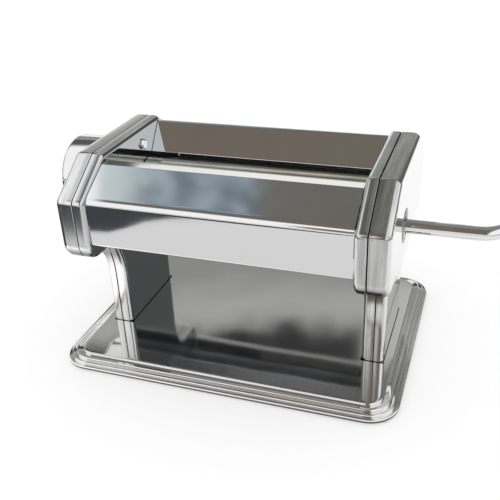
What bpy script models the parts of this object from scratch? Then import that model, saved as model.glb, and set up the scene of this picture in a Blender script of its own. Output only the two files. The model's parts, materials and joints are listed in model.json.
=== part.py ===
"""Hand-cranked clay press: stamped sheet sides on a stepped base, two geared rollers, knob and crank.

Units are metres, +Z up, X along the rollers to the crank side, Y to the rear. All sizes below are real sizes.
Positions inside the functions are in the machine's own frame: mid-length, mid-depth and table top. An empty
carries that frame to the middle of the whole part's length.
"""
import math

import bmesh
import bpy
from mathutils import Matrix, Vector

# Overall body, side view
BODY_DEPTH = 0.132
BODY_HEIGHT = 0.127
SIDE_HEIGHT = 0.0575
TOP_FLAT_SHARE = 0.565
FOLD_DROP = 0.019
FOLD_RADIUS = 0.0032
LOWER_CORNER_RADIUS = 0.011
LEG_DEPTH_SHARE = 0.47
LEG_CORNER_RADIUS = 0.003
LEG_END_GAP = 0.003
FLARE_WIDTH = 0.0065
FLARE_HEIGHT = 0.018
FLARE_LOWER_RADIUS = 0.045
FLARE_UPPER_RADIUS = 0.009

# Side pans
WEB_GAP = 0.1524
PLATE_DEPTH = 0.0069
PLATE_SHEET = 0.0012
PLATE_BEND = 0.0014
SEAM_GAP = 0.0004
COVER_DEPTH = 0.0114
COVER_SHEET = 0.0009
COVER_BEVEL = 0.0021
COVER_LEG_DEPTH = 0.0058

# Clearances shared by the fits
SEAT_GAP = 0.0003
RUN_GAP = 0.00015
OVERRUN = 0.002

# Base
BASE_LENGTH = 0.208
BASE_DEPTH = 0.157
BASE_HEIGHT = 0.007
BASE_EDGE_GAP = 0.0008
BASE_CORNER_RADIUS = 0.018
BASE_RIM_WIDTH = 0.0114
BASE_SHEET = 0.0008
LEG_SLOT_GAP = 0.0003
LEG_SLOT_RADIUS = 0.0012
# Each rim level: share of the rim width inward, share of the rim height upward
RIM_SHARES = (
    (0.00, 0.00),
    (0.00, 0.34),
    (0.035, 0.46),
    (0.11, 0.53),
    (0.37, 0.56),
    (0.50, 0.62),
    (0.78, 0.90),
    (0.87, 0.97),
    (1.00, 1.00),
)

# Rubber feet
FOOT_RADIUS = 0.0072
FOOT_TOP_RADIUS = 0.0060
FOOT_CHAMFER = 0.0008
FOOT_INSET_X = 0.0205
FOOT_INSET_Y = 0.0210

# Guards
GUARD_SHEET = 0.0008
GUARD_SETBACK = 0.0029
GUARD_BOTTOM_RISE = 0.0107
GUARD_FOLD_RISE = 0.0006
GUARD_TOP_DROP = 0.0022
GUARD_TOP_INSET = 0.0018
GUARD_THROAT_RISE = 0.0021
GUARD_THROAT_INSET = 0.0069
GUARD_LIP_WIDTH = 0.0055
GUARD_LIP_RADIUS = 0.0014
GUARD_FOLD_RADIUS = 0.0048
GUARD_TOP_RADIUS = 0.0056

# Rollers
ROLLER_RADIUS = 0.0145
ROLLER_AXIS_DROP = 0.036
NIP_GAP = 0.0016
ROLLER_END_GAP = 0.0004
ROLLER_CHAMFER = 0.0005
JOURNAL_RADIUS = 0.005
JOURNAL_LENGTH = 0.0060
REAR_DRIVE_JOURNAL_LENGTH = 0.0125
SOCKET_RADIUS = 0.007
SOCKET_PROUD = 0.0004
SOCKET_BORE_RADIUS = 0.0044
SOCKET_BORE_DEPTH = 0.016
SOCKET_SLOT_WIDTH = 0.0034
SOCKET_SLOT_DEPTH = 0.0072

# Roller gears
GEAR_TEETH = 14
GEAR_ROOT_RADIUS = 0.0122
GEAR_TIP_RADIUS = 0.0164
GEAR_WIDTH = 0.006
GEAR_START = 0.0044
TOOTH_ROOT_WIDTH = 0.0036
TOOTH_MID_WIDTH = 0.0027
TOOTH_TIP_WIDTH = 0.0013
TOOTH_MID_SHARE = 0.5

# Front bushes and rear bearing blocks
BUSH_WALL = 0.0027
BUSH_RIM = 0.0024
BUSH_RIM_THICKNESS = 0.0020
BLOCK_NOSE_WIDTH = 0.0154
BLOCK_NOSE_HEIGHT = 0.0134
BLOCK_RIM = 0.0018
BLOCK_RIM_THICKNESS = 0.0024
BLOCK_EDGE = 0.0008

# Thickness setting: eccentric in a yoke
ECCENTRIC_THROW = 0.00145
ECCENTRIC_RADIUS = 0.008
ECCENTRIC_WIDTH = 0.0040
YOKE_PLAY = 0.00035
YOKE_END_PLAY = 0.0005
YOKE_WALL = 0.0036
YOKE_FLOOR = 0.0013
YOKE_LENGTH = 0.0066
STEM_RADIUS = 0.0055
STEM_LENGTH = 0.0302

# Knob
KNOB_RADIUS = 0.0254
KNOB_LENGTH = 0.0308
KNOB_COVER_GAP = 0.0012
KNOB_EDGE_RADIUS = 0.0030
KNOB_REAR_EDGE = 0.0010
KNOB_WALL = 0.0022
KNOB_HUB_RADIUS = 0.0125
KNOB_HUB_FLOOR = 0.0090
SPRING_RADIUS = 0.0082
SPRING_WIRE_RADIUS = 0.0007
SPRING_TURNS = 4
WASHER_RADIUS = 0.0108
WASHER_THICKNESS = 0.0012
WASHER_BORE = 0.0022
STEM_SCREW_RADIUS = 0.0018
STEM_SCREW_LENGTH = 0.0080
STEM_SCREW_HEAD_RADIUS = 0.0040
STEM_SCREW_HEAD = 0.0024
STEM_SCREW_EDGE = 0.0006
INDEX_PIN_RADIUS = 0.0014
INDEX_CIRCLE = 0.0180
INDEX_HOLE_RADIUS = 0.0017
INDEX_STEPS = 9
INDEX_STEP_ANGLE = math.radians(20.0)

# Rings in the cover holes
RING_WALL = 0.0019
RING_LIP = 0.0010
RING_LIP_THICKNESS = 0.0012
RING_EDGE = 0.0004

# Scrapers
SCRAPER_GAP = 0.0004
REAR_SCRAPER_GAP = 0.0011
SCRAPER_THICKNESS = 0.0012
SCRAPER_WIDTH = 0.014
SCRAPER_LEAD = 0.0006
SCRAPER_EDGE = 0.0003
SCRAPER_ANGLE = math.radians(60.0)

# Tie rods, cover posts and screws
TIE_RADIUS = 0.004
TIE_INSET = 0.016
TIE_RISE = 0.0205
TIE_THREAD_RADIUS = 0.0025
TIE_THREAD_LENGTH = 0.0050
NUT_RADIUS = 0.0046
NUT_THICKNESS = 0.0032
NUT_SIDES = 6
POST_OFFSET = 0.011
POST_DROP = 0.011
POST_RADIUS = 0.004
POST_BORE_RADIUS = 0.0021
POST_SCREW_RADIUS = 0.0017
POST_SCREW_LENGTH = 0.010
POST_SCREW_HEAD_RADIUS = 0.0034
POST_SCREW_HEAD = 0.0017
POST_SCREW_EDGE = 0.0008

# Crank
CRANK_ROD_RADIUS = 0.004
CRANK_INSERTION = 0.0150
CRANK_STRAIGHT = 0.0388
CRANK_BEND_RADIUS = 0.020
CRANK_BEND_ANGLE = math.radians(72.0)
CRANK_ARM_RADIUS = 0.076
CRANK_REST_ANGLE = math.radians(12.0)
CRANK_PIN_RADIUS = 0.0014
CRANK_PIN_REACH = 0.0063
CRANK_PIN_SETBACK = 0.0042
GRIP_LEAD = 0.0030
FERRULE_LENGTH = 0.0050
FERRULE_RADIUS = 0.0070
FERRULE_EDGE = 0.0008
GRIP_GAP = 0.0004
GRIP_LENGTH = 0.062
GRIP_NECK_RADIUS = 0.0088
GRIP_BELLY_RADIUS = 0.0122
GRIP_END_RADIUS = 0.0104
GRIP_EDGE_RADIUS = 0.0020
GRIP_BELLY_SHARE = 0.6
END_NUT_RADIUS = 0.0068
END_NUT_LENGTH = 0.0062
END_NUT_BORE_DEPTH = 0.0046

# Facet counts
SEGMENTS_LARGE = 44
SEGMENTS_MEDIUM = 28
SEGMENTS_SMALL = 14
SEGMENTS_TINY = 10
ARC_STEPS = 6
FOLD_STEPS = 3
BEND_STEPS = 4
GRIP_RINGS = 8
SPRING_POINTS = 10
ROD_RESOLUTION = 5
SPRING_RESOLUTION = 1
MERGE = 0.00001
SMOOTH_ANGLE = math.radians(35.0)

# Places worked out from the sizes above
UNDERSIDE_Z = BODY_HEIGHT - SIDE_HEIGHT
FRONT_FOLD_Z = BODY_HEIGHT - FOLD_DROP
TOP_FLAT_DEPTH = BODY_DEPTH * TOP_FLAT_SHARE
LEG_DEPTH = BODY_DEPTH * LEG_DEPTH_SHARE
FLARE_LOW_Z = UNDERSIDE_Z - FLARE_HEIGHT
ROLLER_AXIS_Z = BODY_HEIGHT - ROLLER_AXIS_DROP
FRONT_AXIS_Y = -(ROLLER_RADIUS + NIP_GAP / 2)
GUARD_BOTTOM_Z = UNDERSIDE_Z + GUARD_BOTTOM_RISE
GUARD_FOLD_Z = FRONT_FOLD_Z + GUARD_FOLD_RISE
GUARD_TOP_Z = BODY_HEIGHT - GUARD_TOP_DROP
GUARD_TOP_HALF_GAP = TOP_FLAT_DEPTH / 2 - GUARD_TOP_INSET
GUARD_THROAT_Z = ROLLER_AXIS_Z + ROLLER_RADIUS + GUARD_THROAT_RISE
GUARD_THROAT_HALF_GAP = GUARD_THROAT_INSET - FRONT_AXIS_Y
TIE_Y = BODY_DEPTH / 2 - TIE_INSET
TIE_Z = UNDERSIDE_Z + TIE_RISE
POST_Z = BODY_HEIGHT - POST_DROP
WEB_X = WEB_GAP / 2
WEB_BACK_X = WEB_X + PLATE_SHEET
PLATE_EDGE_X = WEB_X + PLATE_DEPTH
COVER_EDGE_X = PLATE_EDGE_X + SEAM_GAP
COVER_FACE_X = COVER_EDGE_X + COVER_DEPTH
COVER_INSIDE_X = COVER_FACE_X - COVER_SHEET
ROLLER_END_X = WEB_X - ROLLER_END_GAP
REAR_AXIS_Y = FRONT_AXIS_Y + ROLLER_RADIUS * 2 + NIP_GAP
SEAT_X = WEB_BACK_X + SEAT_GAP
GEAR_X = WEB_BACK_X + GEAR_START
KNOB_BACK_X = COVER_FACE_X + RING_LIP_THICKNESS + KNOB_COVER_GAP
KNOB_END_X = KNOB_BACK_X + KNOB_LENGTH
ARM_RUN_RADIUS = CRANK_ARM_RADIUS - CRANK_BEND_RADIUS * (1 - math.cos(CRANK_BEND_ANGLE)) * 2
BEND_ADVANCE = CRANK_BEND_RADIUS * math.sin(CRANK_BEND_ANGLE)
ARM_ADVANCE = ARM_RUN_RADIUS / math.tan(CRANK_BEND_ANGLE)
FERRULE_X = COVER_FACE_X + CRANK_STRAIGHT + BEND_ADVANCE * 2 + ARM_ADVANCE + GRIP_LEAD
GRIP_X = FERRULE_X + FERRULE_LENGTH + GRIP_GAP
END_NUT_X = GRIP_X + GRIP_LENGTH + GRIP_GAP
CRANK_END_X = END_NUT_X + END_NUT_LENGTH
MACHINE_X = (KNOB_END_X - CRANK_END_X) / 2

PART_NAME = "clay_press_machine"


# Scene set-up

def clear_scene():
    for item in list(bpy.data.objects):
        bpy.data.objects.remove(item, do_unlink=True)


def new_collection(name):
    made = bpy.data.collections.new(name)
    bpy.context.scene.collection.children.link(made)
    return made


def new_material(name, colour, metallic, roughness):
    made = bpy.data.materials.new(name)
    made.use_nodes = True
    shader = made.node_tree.nodes["Principled BSDF"]
    shader.inputs["Base Color"].default_value = (*colour, 1.0)
    shader.inputs["Metallic"].default_value = metallic
    shader.inputs["Roughness"].default_value = roughness
    made.diffuse_color = (*colour, 1.0)
    return made


clear_scene()
PARTS = new_collection(PART_NAME)
TOOLS = new_collection("cutters")
FRAME = bpy.data.objects.new("machine_frame", None)
PARTS.objects.link(FRAME)
FRAME.location = (MACHINE_X, 0, 0)

CHROME = (0.80, 0.80, 0.80)
STEEL = (0.62, 0.62, 0.61)
ZINC = (0.66, 0.67, 0.69)
NYLON = (0.86, 0.85, 0.80)
BLACK = (0.03, 0.03, 0.03)


def add_part(name, mesh, location, look, smooth=True):
    part = bpy.data.objects.new(name, mesh)
    PARTS.objects.link(part)
    part.parent = FRAME
    part.location = location
    mesh.materials.clear()
    mesh.materials.append(new_material(name + "_finish", *look))
    if smooth:
        mesh.shade_smooth()
        mesh.set_sharp_from_angle(angle=SMOOTH_ANGLE)
    return part


def add_tool(name, mesh, location):
    tool = bpy.data.objects.new(name, mesh)
    TOOLS.objects.link(tool)
    tool.parent = FRAME
    tool.location = location
    tool.hide_render = True
    tool.display_type = "WIRE"
    return tool


def boolean(part, tool, operation="DIFFERENCE"):
    step = part.modifiers.new(tool.name, "BOOLEAN")
    step.operation = operation
    step.solver = "EXACT"
    step.object = tool


def mesh_from(work, name):
    mesh = bpy.data.meshes.new(name)
    work.to_mesh(mesh)
    work.free()
    return mesh


# Basic shapes, made along X

def along_x(length_centre=0.0):
    return Matrix.Translation((length_centre, 0, 0)) @ Matrix.Rotation(math.pi / 2, 4, "Y")


def cylinder_mesh(name, radius, start, end, segments):
    work = bmesh.new()
    bmesh.ops.create_cone(work, cap_ends=True, segments=segments, radius1=radius, radius2=radius,
                          depth=abs(end - start), matrix=along_x((start + end) / 2))
    return mesh_from(work, name)


def box_mesh(name, low, high, edge=0.0):
    work = bmesh.new()
    size = [b - a for a, b in zip(low, high)]
    middle = [(a + b) / 2 for a, b in zip(low, high)]
    placed = Matrix.Translation(middle) @ Matrix.Diagonal((*size, 1.0))
    bmesh.ops.create_cube(work, size=1.0, matrix=placed)
    if edge:
        bmesh.ops.bevel(work, geom=work.edges[:], offset=edge, segments=1, affect="EDGES")
    return mesh_from(work, name)


def turned_part(name, profile, location, look, segments, side=1):
    """A turned piece: profile is (distance along X, radius), from the low end to the high end."""
    mesh = bpy.data.meshes.new(name)
    points = [(radius, 0.0, along) for along, radius in reversed(profile)]
    edges = [(i, i + 1) for i in range(len(points) - 1)]
    if profile[0][1] > 0.0:
        edges.append((len(points) - 1, 0))
    mesh.from_pydata(points, edges, [])
    part = add_part(name, mesh, location, look, smooth=False)
    part.rotation_euler = (0, side * math.pi / 2, 0)
    turn = part.modifiers.new("turn", "SCREW")
    turn.axis = "Z"
    turn.angle = math.tau
    turn.screw_offset = 0.0
    turn.steps = segments
    turn.render_steps = segments
    turn.use_merge_vertices = True
    turn.merge_threshold = MERGE
    turn.use_smooth_shade = False
    return part


# Outlines with rounded corners

def corner_arc(before, corner, after, radius, steps):
    to_before = (before - corner).normalized()
    to_after = (after - corner).normalized()
    opening = to_before.angle(to_after)
    run = radius / math.tan(opening / 2)
    centre = corner + (to_before + to_after).normalized() * (radius / math.sin(opening / 2))
    start = corner + to_before * run - centre
    sweep = math.pi - opening
    if to_before.x * to_after.y - to_before.y * to_after.x > 0:
        sweep = -sweep
    return [centre + Matrix.Rotation(sweep * i / steps, 2) @ start for i in range(steps + 1)]


def inset_corners(corners, inset):
    """Move every side of a counter-clockwise outline inward and keep the arcs concentric."""
    moved = []
    count = len(corners)
    for i in range(count):
        before = Vector(corners[i - 1][:2])
        corner = Vector(corners[i][:2])
        after = Vector(corners[(i + 1) % count][:2])
        arriving = (corner - before).normalized()
        leaving = (after - corner).normalized()
        turn = arriving.x * leaving.y - arriving.y * leaving.x
        inward_in = Vector((-arriving.y, arriving.x))
        inward_out = Vector((-leaving.y, leaving.x))
        bisector = (inward_in + inward_out).normalized()
        place = corner + bisector * (inset / bisector.dot(inward_in))
        radius = corners[i][2] - math.copysign(inset, turn)
        moved.append((place.x, place.y, max(radius, MERGE), corners[i][3]))
    return moved


def rounded_outline(corners, inset):
    points = []
    moved = inset_corners(corners, inset)
    count = len(moved)
    for i in range(count):
        before = Vector(moved[i - 1][:2])
        corner = Vector(moved[i][:2])
        after = Vector(moved[(i + 1) % count][:2])
        points += corner_arc(before, corner, after, moved[i][2], moved[i][3])
    return points


def stepped_pan(name, corners, levels, place):
    """Loft one rounded outline through (height, inset) levels and close the last with a flat face."""
    work = bmesh.new()
    rings = []
    for height, inset in levels:
        outline = rounded_outline(corners, inset)
        rings.append([work.verts.new(place(p.x, p.y, height)) for p in outline])
    count = len(rings[0])
    for lower, upper in zip(rings, rings[1:]):
        for i in range(count):
            j = (i + 1) % count
            work.faces.new((lower[i], lower[j], upper[j], upper[i]))
    work.faces.new(rings[-1])
    return work


def add_solidify(part, thickness):
    sheet = part.modifiers.new("sheet", "SOLIDIFY")
    sheet.thickness = thickness
    sheet.offset = -1.0
    sheet.use_even_offset = True


# Side pans

def side_outline():
    half = BODY_DEPTH / 2
    flat = TOP_FLAT_DEPTH / 2
    leg = LEG_DEPTH / 2
    right_half = [
        (leg, LEG_END_GAP, LEG_CORNER_RADIUS, FOLD_STEPS),
        (leg, FLARE_LOW_Z, FLARE_LOWER_RADIUS, FOLD_STEPS),
        (leg + FLARE_WIDTH, UNDERSIDE_Z, FLARE_UPPER_RADIUS, BEND_STEPS),
        (half, UNDERSIDE_Z, LOWER_CORNER_RADIUS, ARC_STEPS),
        (half, FRONT_FOLD_Z, FOLD_RADIUS, FOLD_STEPS),
        (flat, BODY_HEIGHT, FOLD_RADIUS, FOLD_STEPS),
    ]
    return right_half + [(-y, *rest) for y, *rest in reversed(right_half)]


def step_leg_in(work):
    """Bring the lower part of a cover in to the shallower leg, with a slope under the body."""
    low = FLARE_LOW_Z
    for level in (low, UNDERSIDE_Z):
        bmesh.ops.bisect_plane(work, geom=work.verts[:] + work.edges[:] + work.faces[:], dist=MERGE,
                               plane_co=(0, 0, level), plane_no=(0, 0, 1))
    share = COVER_LEG_DEPTH / COVER_DEPTH
    for vert in work.verts:
        blend = min(max((vert.co.z - low) / (UNDERSIDE_Z - low), 0.0), 1.0)
        vert.co.x *= share + (1 - share) * blend


def side_pan(name, edge_x, facing, depth, bend, sheet, leg_step=False):
    """A sheet pan: flange edge at edge_x, flat web at edge_x + facing * depth."""
    levels = [(0.0, 0.0), (depth - bend, 0.0)]
    middle = bend * (1 - math.sqrt(0.5))
    if not leg_step:
        levels.append((depth - middle, middle))
    levels.append((depth, bend))
    work = stepped_pan(name, side_outline(), levels, lambda u, v, w: (w, u, v))
    if leg_step:
        step_leg_in(work)
    for vert in work.verts:
        vert.co.x = edge_x + facing * vert.co.x
    if facing < 0:
        bmesh.ops.reverse_faces(work, faces=work.faces[:])
    part = add_part(name, mesh_from(work, name), (0, 0, 0), (CHROME, 1.0, 0.12))
    add_solidify(part, sheet)
    return part


def cut_round(part, name, radius, x, y, z, segments=SEGMENTS_MEDIUM):
    reach = PLATE_SHEET + OVERRUN
    mesh = cylinder_mesh(name, radius, x - reach, x + reach, segments)
    boolean(part, add_tool(name, mesh, (0, y, z)))


def rear_slot_tool(name, x):
    half_width = BLOCK_NOSE_WIDTH / 2 + ECCENTRIC_THROW + SEAT_GAP
    half_height = BLOCK_NOSE_HEIGHT / 2 + SEAT_GAP
    reach = PLATE_SHEET + OVERRUN
    mesh = box_mesh(name, (x - reach, -half_width, -half_height), (x + reach, half_width, half_height))
    return add_tool(name, mesh, (0, REAR_AXIS_Y, ROLLER_AXIS_Z))


def make_side_plate(side, word, journal_radius):
    plate = side_pan(word + "_side_plate", side * PLATE_EDGE_X, -side, PLATE_DEPTH, PLATE_BEND, PLATE_SHEET)
    x = side * (WEB_X + PLATE_SHEET / 2)
    bush_hole = journal_radius + RUN_GAP + BUSH_WALL + SEAT_GAP
    cut_round(plate, word + "_bush_hole", bush_hole, x, FRONT_AXIS_Y, ROLLER_AXIS_Z)
    boolean(plate, rear_slot_tool(word + "_block_slot", x))
    for direction, end in ((-1, "front"), (1, "rear")):
        name = word + "_" + end + "_tie_hole"
        cut_round(plate, name, TIE_THREAD_RADIUS + SEAT_GAP, x, direction * TIE_Y, TIE_Z, SEGMENTS_SMALL)
    cut_round(plate, word + "_post_hole", POST_SCREW_RADIUS + SEAT_GAP, x, POST_OFFSET, POST_Z, SEGMENTS_SMALL)
    return plate


def index_angles():
    first = -(INDEX_STEPS - 1) / 2
    return [math.pi / 2 + (first + i) * INDEX_STEP_ANGLE for i in range(INDEX_STEPS)]


def index_hole_mesh(name, x):
    work = bmesh.new()
    reach = COVER_SHEET + OVERRUN
    for angle in index_angles():
        place = Matrix.Translation((x, math.cos(angle) * INDEX_CIRCLE, math.sin(angle) * INDEX_CIRCLE))
        bmesh.ops.create_cone(work, cap_ends=True, segments=SEGMENTS_TINY, radius1=INDEX_HOLE_RADIUS,
                              radius2=INDEX_HOLE_RADIUS, depth=reach * 2, matrix=place @ along_x())
    return mesh_from(work, name)


def make_covers():
    for side, word in ((-1, "left"), (1, "right")):
        cover = side_pan(word + "_outer_cover", side * COVER_EDGE_X, side, COVER_DEPTH, COVER_BEVEL,
                         COVER_SHEET, leg_step=True)
        x = side * (COVER_FACE_X - COVER_SHEET / 2)
        if side > 0:
            hole = SOCKET_RADIUS + RUN_GAP + RING_WALL + SEAT_GAP
            cut_round(cover, "crank_hole", hole, x, FRONT_AXIS_Y, ROLLER_AXIS_Z)
        else:
            hole = STEM_RADIUS + RUN_GAP + RING_WALL + SEAT_GAP
            cut_round(cover, "knob_hole", hole, x, REAR_AXIS_Y, ROLLER_AXIS_Z)
            holes = add_tool("index_holes", index_hole_mesh("index_holes", x), (0, REAR_AXIS_Y, ROLLER_AXIS_Z))
            boolean(cover, holes)


# Base and feet

def base_outline():
    x = BASE_LENGTH / 2
    y = BASE_DEPTH / 2
    return [(px, py, BASE_CORNER_RADIUS, ARC_STEPS) for px, py in ((x, -y), (x, y), (-x, y), (-x, -y))]


def leg_slot_tool(name, side):
    low_x = WEB_X - LEG_SLOT_GAP
    high_x = COVER_EDGE_X + COVER_LEG_DEPTH + LEG_SLOT_GAP
    half = LEG_DEPTH / 2 + LEG_SLOT_GAP
    places = ((low_x, -half), (high_x, -half), (high_x, half), (low_x, half))
    corners = [(px, py, LEG_SLOT_RADIUS, FOLD_STEPS) for px, py in places]
    work = stepped_pan(name, corners, [(BASE_EDGE_GAP, 0.0), (BASE_HEIGHT + OVERRUN, 0.0)],
                       lambda u, v, w: (u, v, w))
    bmesh.ops.holes_fill(work, edges=[edge for edge in work.edges if edge.is_boundary])
    if side < 0:
        bmesh.ops.scale(work, vec=(-1, 1, 1), verts=work.verts[:])
    bmesh.ops.recalc_face_normals(work, faces=work.faces[:])
    return add_tool(name, mesh_from(work, name), (0, 0, 0))


def make_base():
    height = BASE_HEIGHT - BASE_EDGE_GAP
    levels = [(BASE_EDGE_GAP + up * height, inward * BASE_RIM_WIDTH) for inward, up in RIM_SHARES]
    work = stepped_pan("base_plate", base_outline(), levels, lambda u, v, w: (u, v, w))
    base = add_part("base_plate", mesh_from(work, "base_plate"), (0, 0, 0), (CHROME, 1.0, 0.12))
    add_solidify(base, BASE_SHEET)
    for side, word in ((-1, "left"), (1, "right")):
        boolean(base, leg_slot_tool(word + "_leg_slot", side))


def make_feet():
    top = BASE_HEIGHT - BASE_SHEET - SEAT_GAP
    profile = [(0.0, 0.0), (0.0, FOOT_RADIUS - FOOT_CHAMFER), (FOOT_CHAMFER, FOOT_RADIUS),
               (top - FOOT_CHAMFER, FOOT_TOP_RADIUS), (top, FOOT_TOP_RADIUS - FOOT_CHAMFER), (top, 0.0)]
    for side, word in ((-1, "left"), (1, "right")):
        for end, place in ((-1, "front"), (1, "rear")):
            spot = (side * (BASE_LENGTH / 2 - FOOT_INSET_X), end * (BASE_DEPTH / 2 - FOOT_INSET_Y), 0)
            foot = turned_part("rubber_foot_" + place + "_" + word, profile, spot, (BLACK, 0.0, 0.8),
                               SEGMENTS_SMALL)
            foot.rotation_euler = (0, 0, 0)


# Guards

def guard_section():
    face_y = -(BODY_DEPTH / 2 - GUARD_SETBACK)
    bends = [
        (face_y + GUARD_LIP_WIDTH, GUARD_BOTTOM_Z, 0.0),
        (face_y, GUARD_BOTTOM_Z, GUARD_LIP_RADIUS),
        (face_y, GUARD_FOLD_Z, GUARD_FOLD_RADIUS),
        (-GUARD_TOP_HALF_GAP, GUARD_TOP_Z, GUARD_TOP_RADIUS),
        (-GUARD_THROAT_HALF_GAP, GUARD_THROAT_Z, 0.0),
    ]
    points = [Vector(bends[0][:2])]
    for before, bend, after in zip(bends, bends[1:], bends[2:]):
        points += corner_arc(Vector(before[:2]), Vector(bend[:2]), Vector(after[:2]), bend[2], ARC_STEPS)
    return points + [Vector(bends[-1][:2])]


def make_guards():
    half = WEB_X - SEAT_GAP
    for name, turn in (("front_guard", 0.0), ("rear_guard", math.pi)):
        work = bmesh.new()
        left = [work.verts.new((-half, p.x, p.y)) for p in guard_section()]
        right = [work.verts.new((half, p.x, p.y)) for p in guard_section()]
        for i in range(len(left) - 1):
            work.faces.new((left[i], right[i], right[i + 1], left[i + 1]))
        guard = add_part(name, mesh_from(work, name), (0, 0, 0), (CHROME, 1.0, 0.10))
        guard.rotation_euler = (0, 0, turn)
        add_solidify(guard, GUARD_SHEET)


# Rollers

def roller_body():
    return [(-ROLLER_END_X, ROLLER_RADIUS - ROLLER_CHAMFER), (-ROLLER_END_X + ROLLER_CHAMFER, ROLLER_RADIUS),
            (ROLLER_END_X - ROLLER_CHAMFER, ROLLER_RADIUS), (ROLLER_END_X, ROLLER_RADIUS - ROLLER_CHAMFER)]


def make_front_roller():
    left_end = -(WEB_X + JOURNAL_LENGTH)
    mouth = COVER_FACE_X + SOCKET_PROUD
    floor = mouth - SOCKET_BORE_DEPTH
    profile = [(left_end, 0.0), (left_end, JOURNAL_RADIUS), (-ROLLER_END_X, JOURNAL_RADIUS)]
    profile += roller_body()
    profile += [(ROLLER_END_X, SOCKET_RADIUS), (mouth, SOCKET_RADIUS), (mouth, SOCKET_BORE_RADIUS),
                (floor, SOCKET_BORE_RADIUS), (floor, 0.0)]
    roller = turned_part("front_roller", profile, (0, FRONT_AXIS_Y, ROLLER_AXIS_Z), (STEEL, 1.0, 0.22),
                         SEGMENTS_LARGE)
    half = SOCKET_SLOT_WIDTH / 2
    reach = SOCKET_RADIUS + OVERRUN
    slot = box_mesh("socket_slot", (mouth - SOCKET_SLOT_DEPTH, -half, -reach), (mouth + OVERRUN, half, reach))
    tool = add_tool("socket_slot", slot, (0, FRONT_AXIS_Y, ROLLER_AXIS_Z))
    tool.rotation_euler = (CRANK_REST_ANGLE, 0, 0)
    boolean(roller, tool)


def make_rear_roller():
    left_end = -(SEAT_X + BLOCK_RIM_THICKNESS - SEAT_GAP)
    right_end = WEB_X + REAR_DRIVE_JOURNAL_LENGTH
    profile = [(left_end, 0.0), (left_end, JOURNAL_RADIUS), (-ROLLER_END_X, JOURNAL_RADIUS)]
    profile += roller_body()
    profile += [(ROLLER_END_X, JOURNAL_RADIUS), (right_end, JOURNAL_RADIUS), (right_end, 0.0)]
    turned_part("rear_roller", profile, (0, REAR_AXIS_Y, ROLLER_AXIS_Z), (STEEL, 1.0, 0.22), SEGMENTS_LARGE)


# Gears

def tooth_points(angle):
    mid_radius = GEAR_ROOT_RADIUS + (GEAR_TIP_RADIUS - GEAR_ROOT_RADIUS) * TOOTH_MID_SHARE
    rising = ((GEAR_ROOT_RADIUS, -TOOTH_ROOT_WIDTH), (mid_radius, -TOOTH_MID_WIDTH),
              (GEAR_TIP_RADIUS, -TOOTH_TIP_WIDTH))
    falling = tuple((radius, -width) for radius, width in reversed(rising))
    points = []
    for radius, width in rising + falling:
        turned = angle + width / 2 / radius
        points.append((radius * math.cos(turned), radius * math.sin(turned)))
    return points


def gear_outline(first_tooth):
    points = []
    for i in range(GEAR_TEETH):
        points += tooth_points(first_tooth + math.tau * i / GEAR_TEETH)
    return points


def make_gear(name, y, bore_radius, first_tooth):
    work = bmesh.new()
    ring = [work.verts.new((px, py, 0)) for px, py in gear_outline(first_tooth)]
    face = work.faces.new(ring)
    grown = bmesh.ops.extrude_face_region(work, geom=[face])
    lifted = [item for item in grown["geom"] if isinstance(item, bmesh.types.BMVert)]
    bmesh.ops.translate(work, vec=(0, 0, GEAR_WIDTH), verts=lifted)
    bmesh.ops.recalc_face_normals(work, faces=work.faces[:])
    gear = add_part(name, mesh_from(work, name), (GEAR_X, y, ROLLER_AXIS_Z), (STEEL, 1.0, 0.35), smooth=False)
    gear.rotation_euler = (0, math.pi / 2, 0)
    start = GEAR_X - OVERRUN
    bore = cylinder_mesh(name + "_bore", bore_radius + RUN_GAP, start, GEAR_X + GEAR_WIDTH + OVERRUN,
                         SEGMENTS_MEDIUM)
    boolean(gear, add_tool(name + "_bore", bore, (0, y, ROLLER_AXIS_Z)))


def make_gears():
    make_gear("front_roller_gear", FRONT_AXIS_Y, SOCKET_RADIUS, math.pi / 2)
    half_pitch = math.pi / GEAR_TEETH
    make_gear("rear_roller_gear", REAR_AXIS_Y, JOURNAL_RADIUS, -math.pi / 2 + half_pitch)


# Bushes, bearing blocks and rings

def make_bush(name, side, journal_radius):
    bore = journal_radius + RUN_GAP
    nose = bore + BUSH_WALL
    rim = nose + BUSH_RIM
    start = WEB_X
    end = SEAT_X + BUSH_RIM_THICKNESS
    profile = [(start, bore), (start, nose), (SEAT_X, nose), (SEAT_X, rim), (end, rim), (end, bore)]
    turned_part(name, profile, (0, FRONT_AXIS_Y, ROLLER_AXIS_Z), (NYLON, 0.0, 0.5), SEGMENTS_MEDIUM, side)


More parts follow.
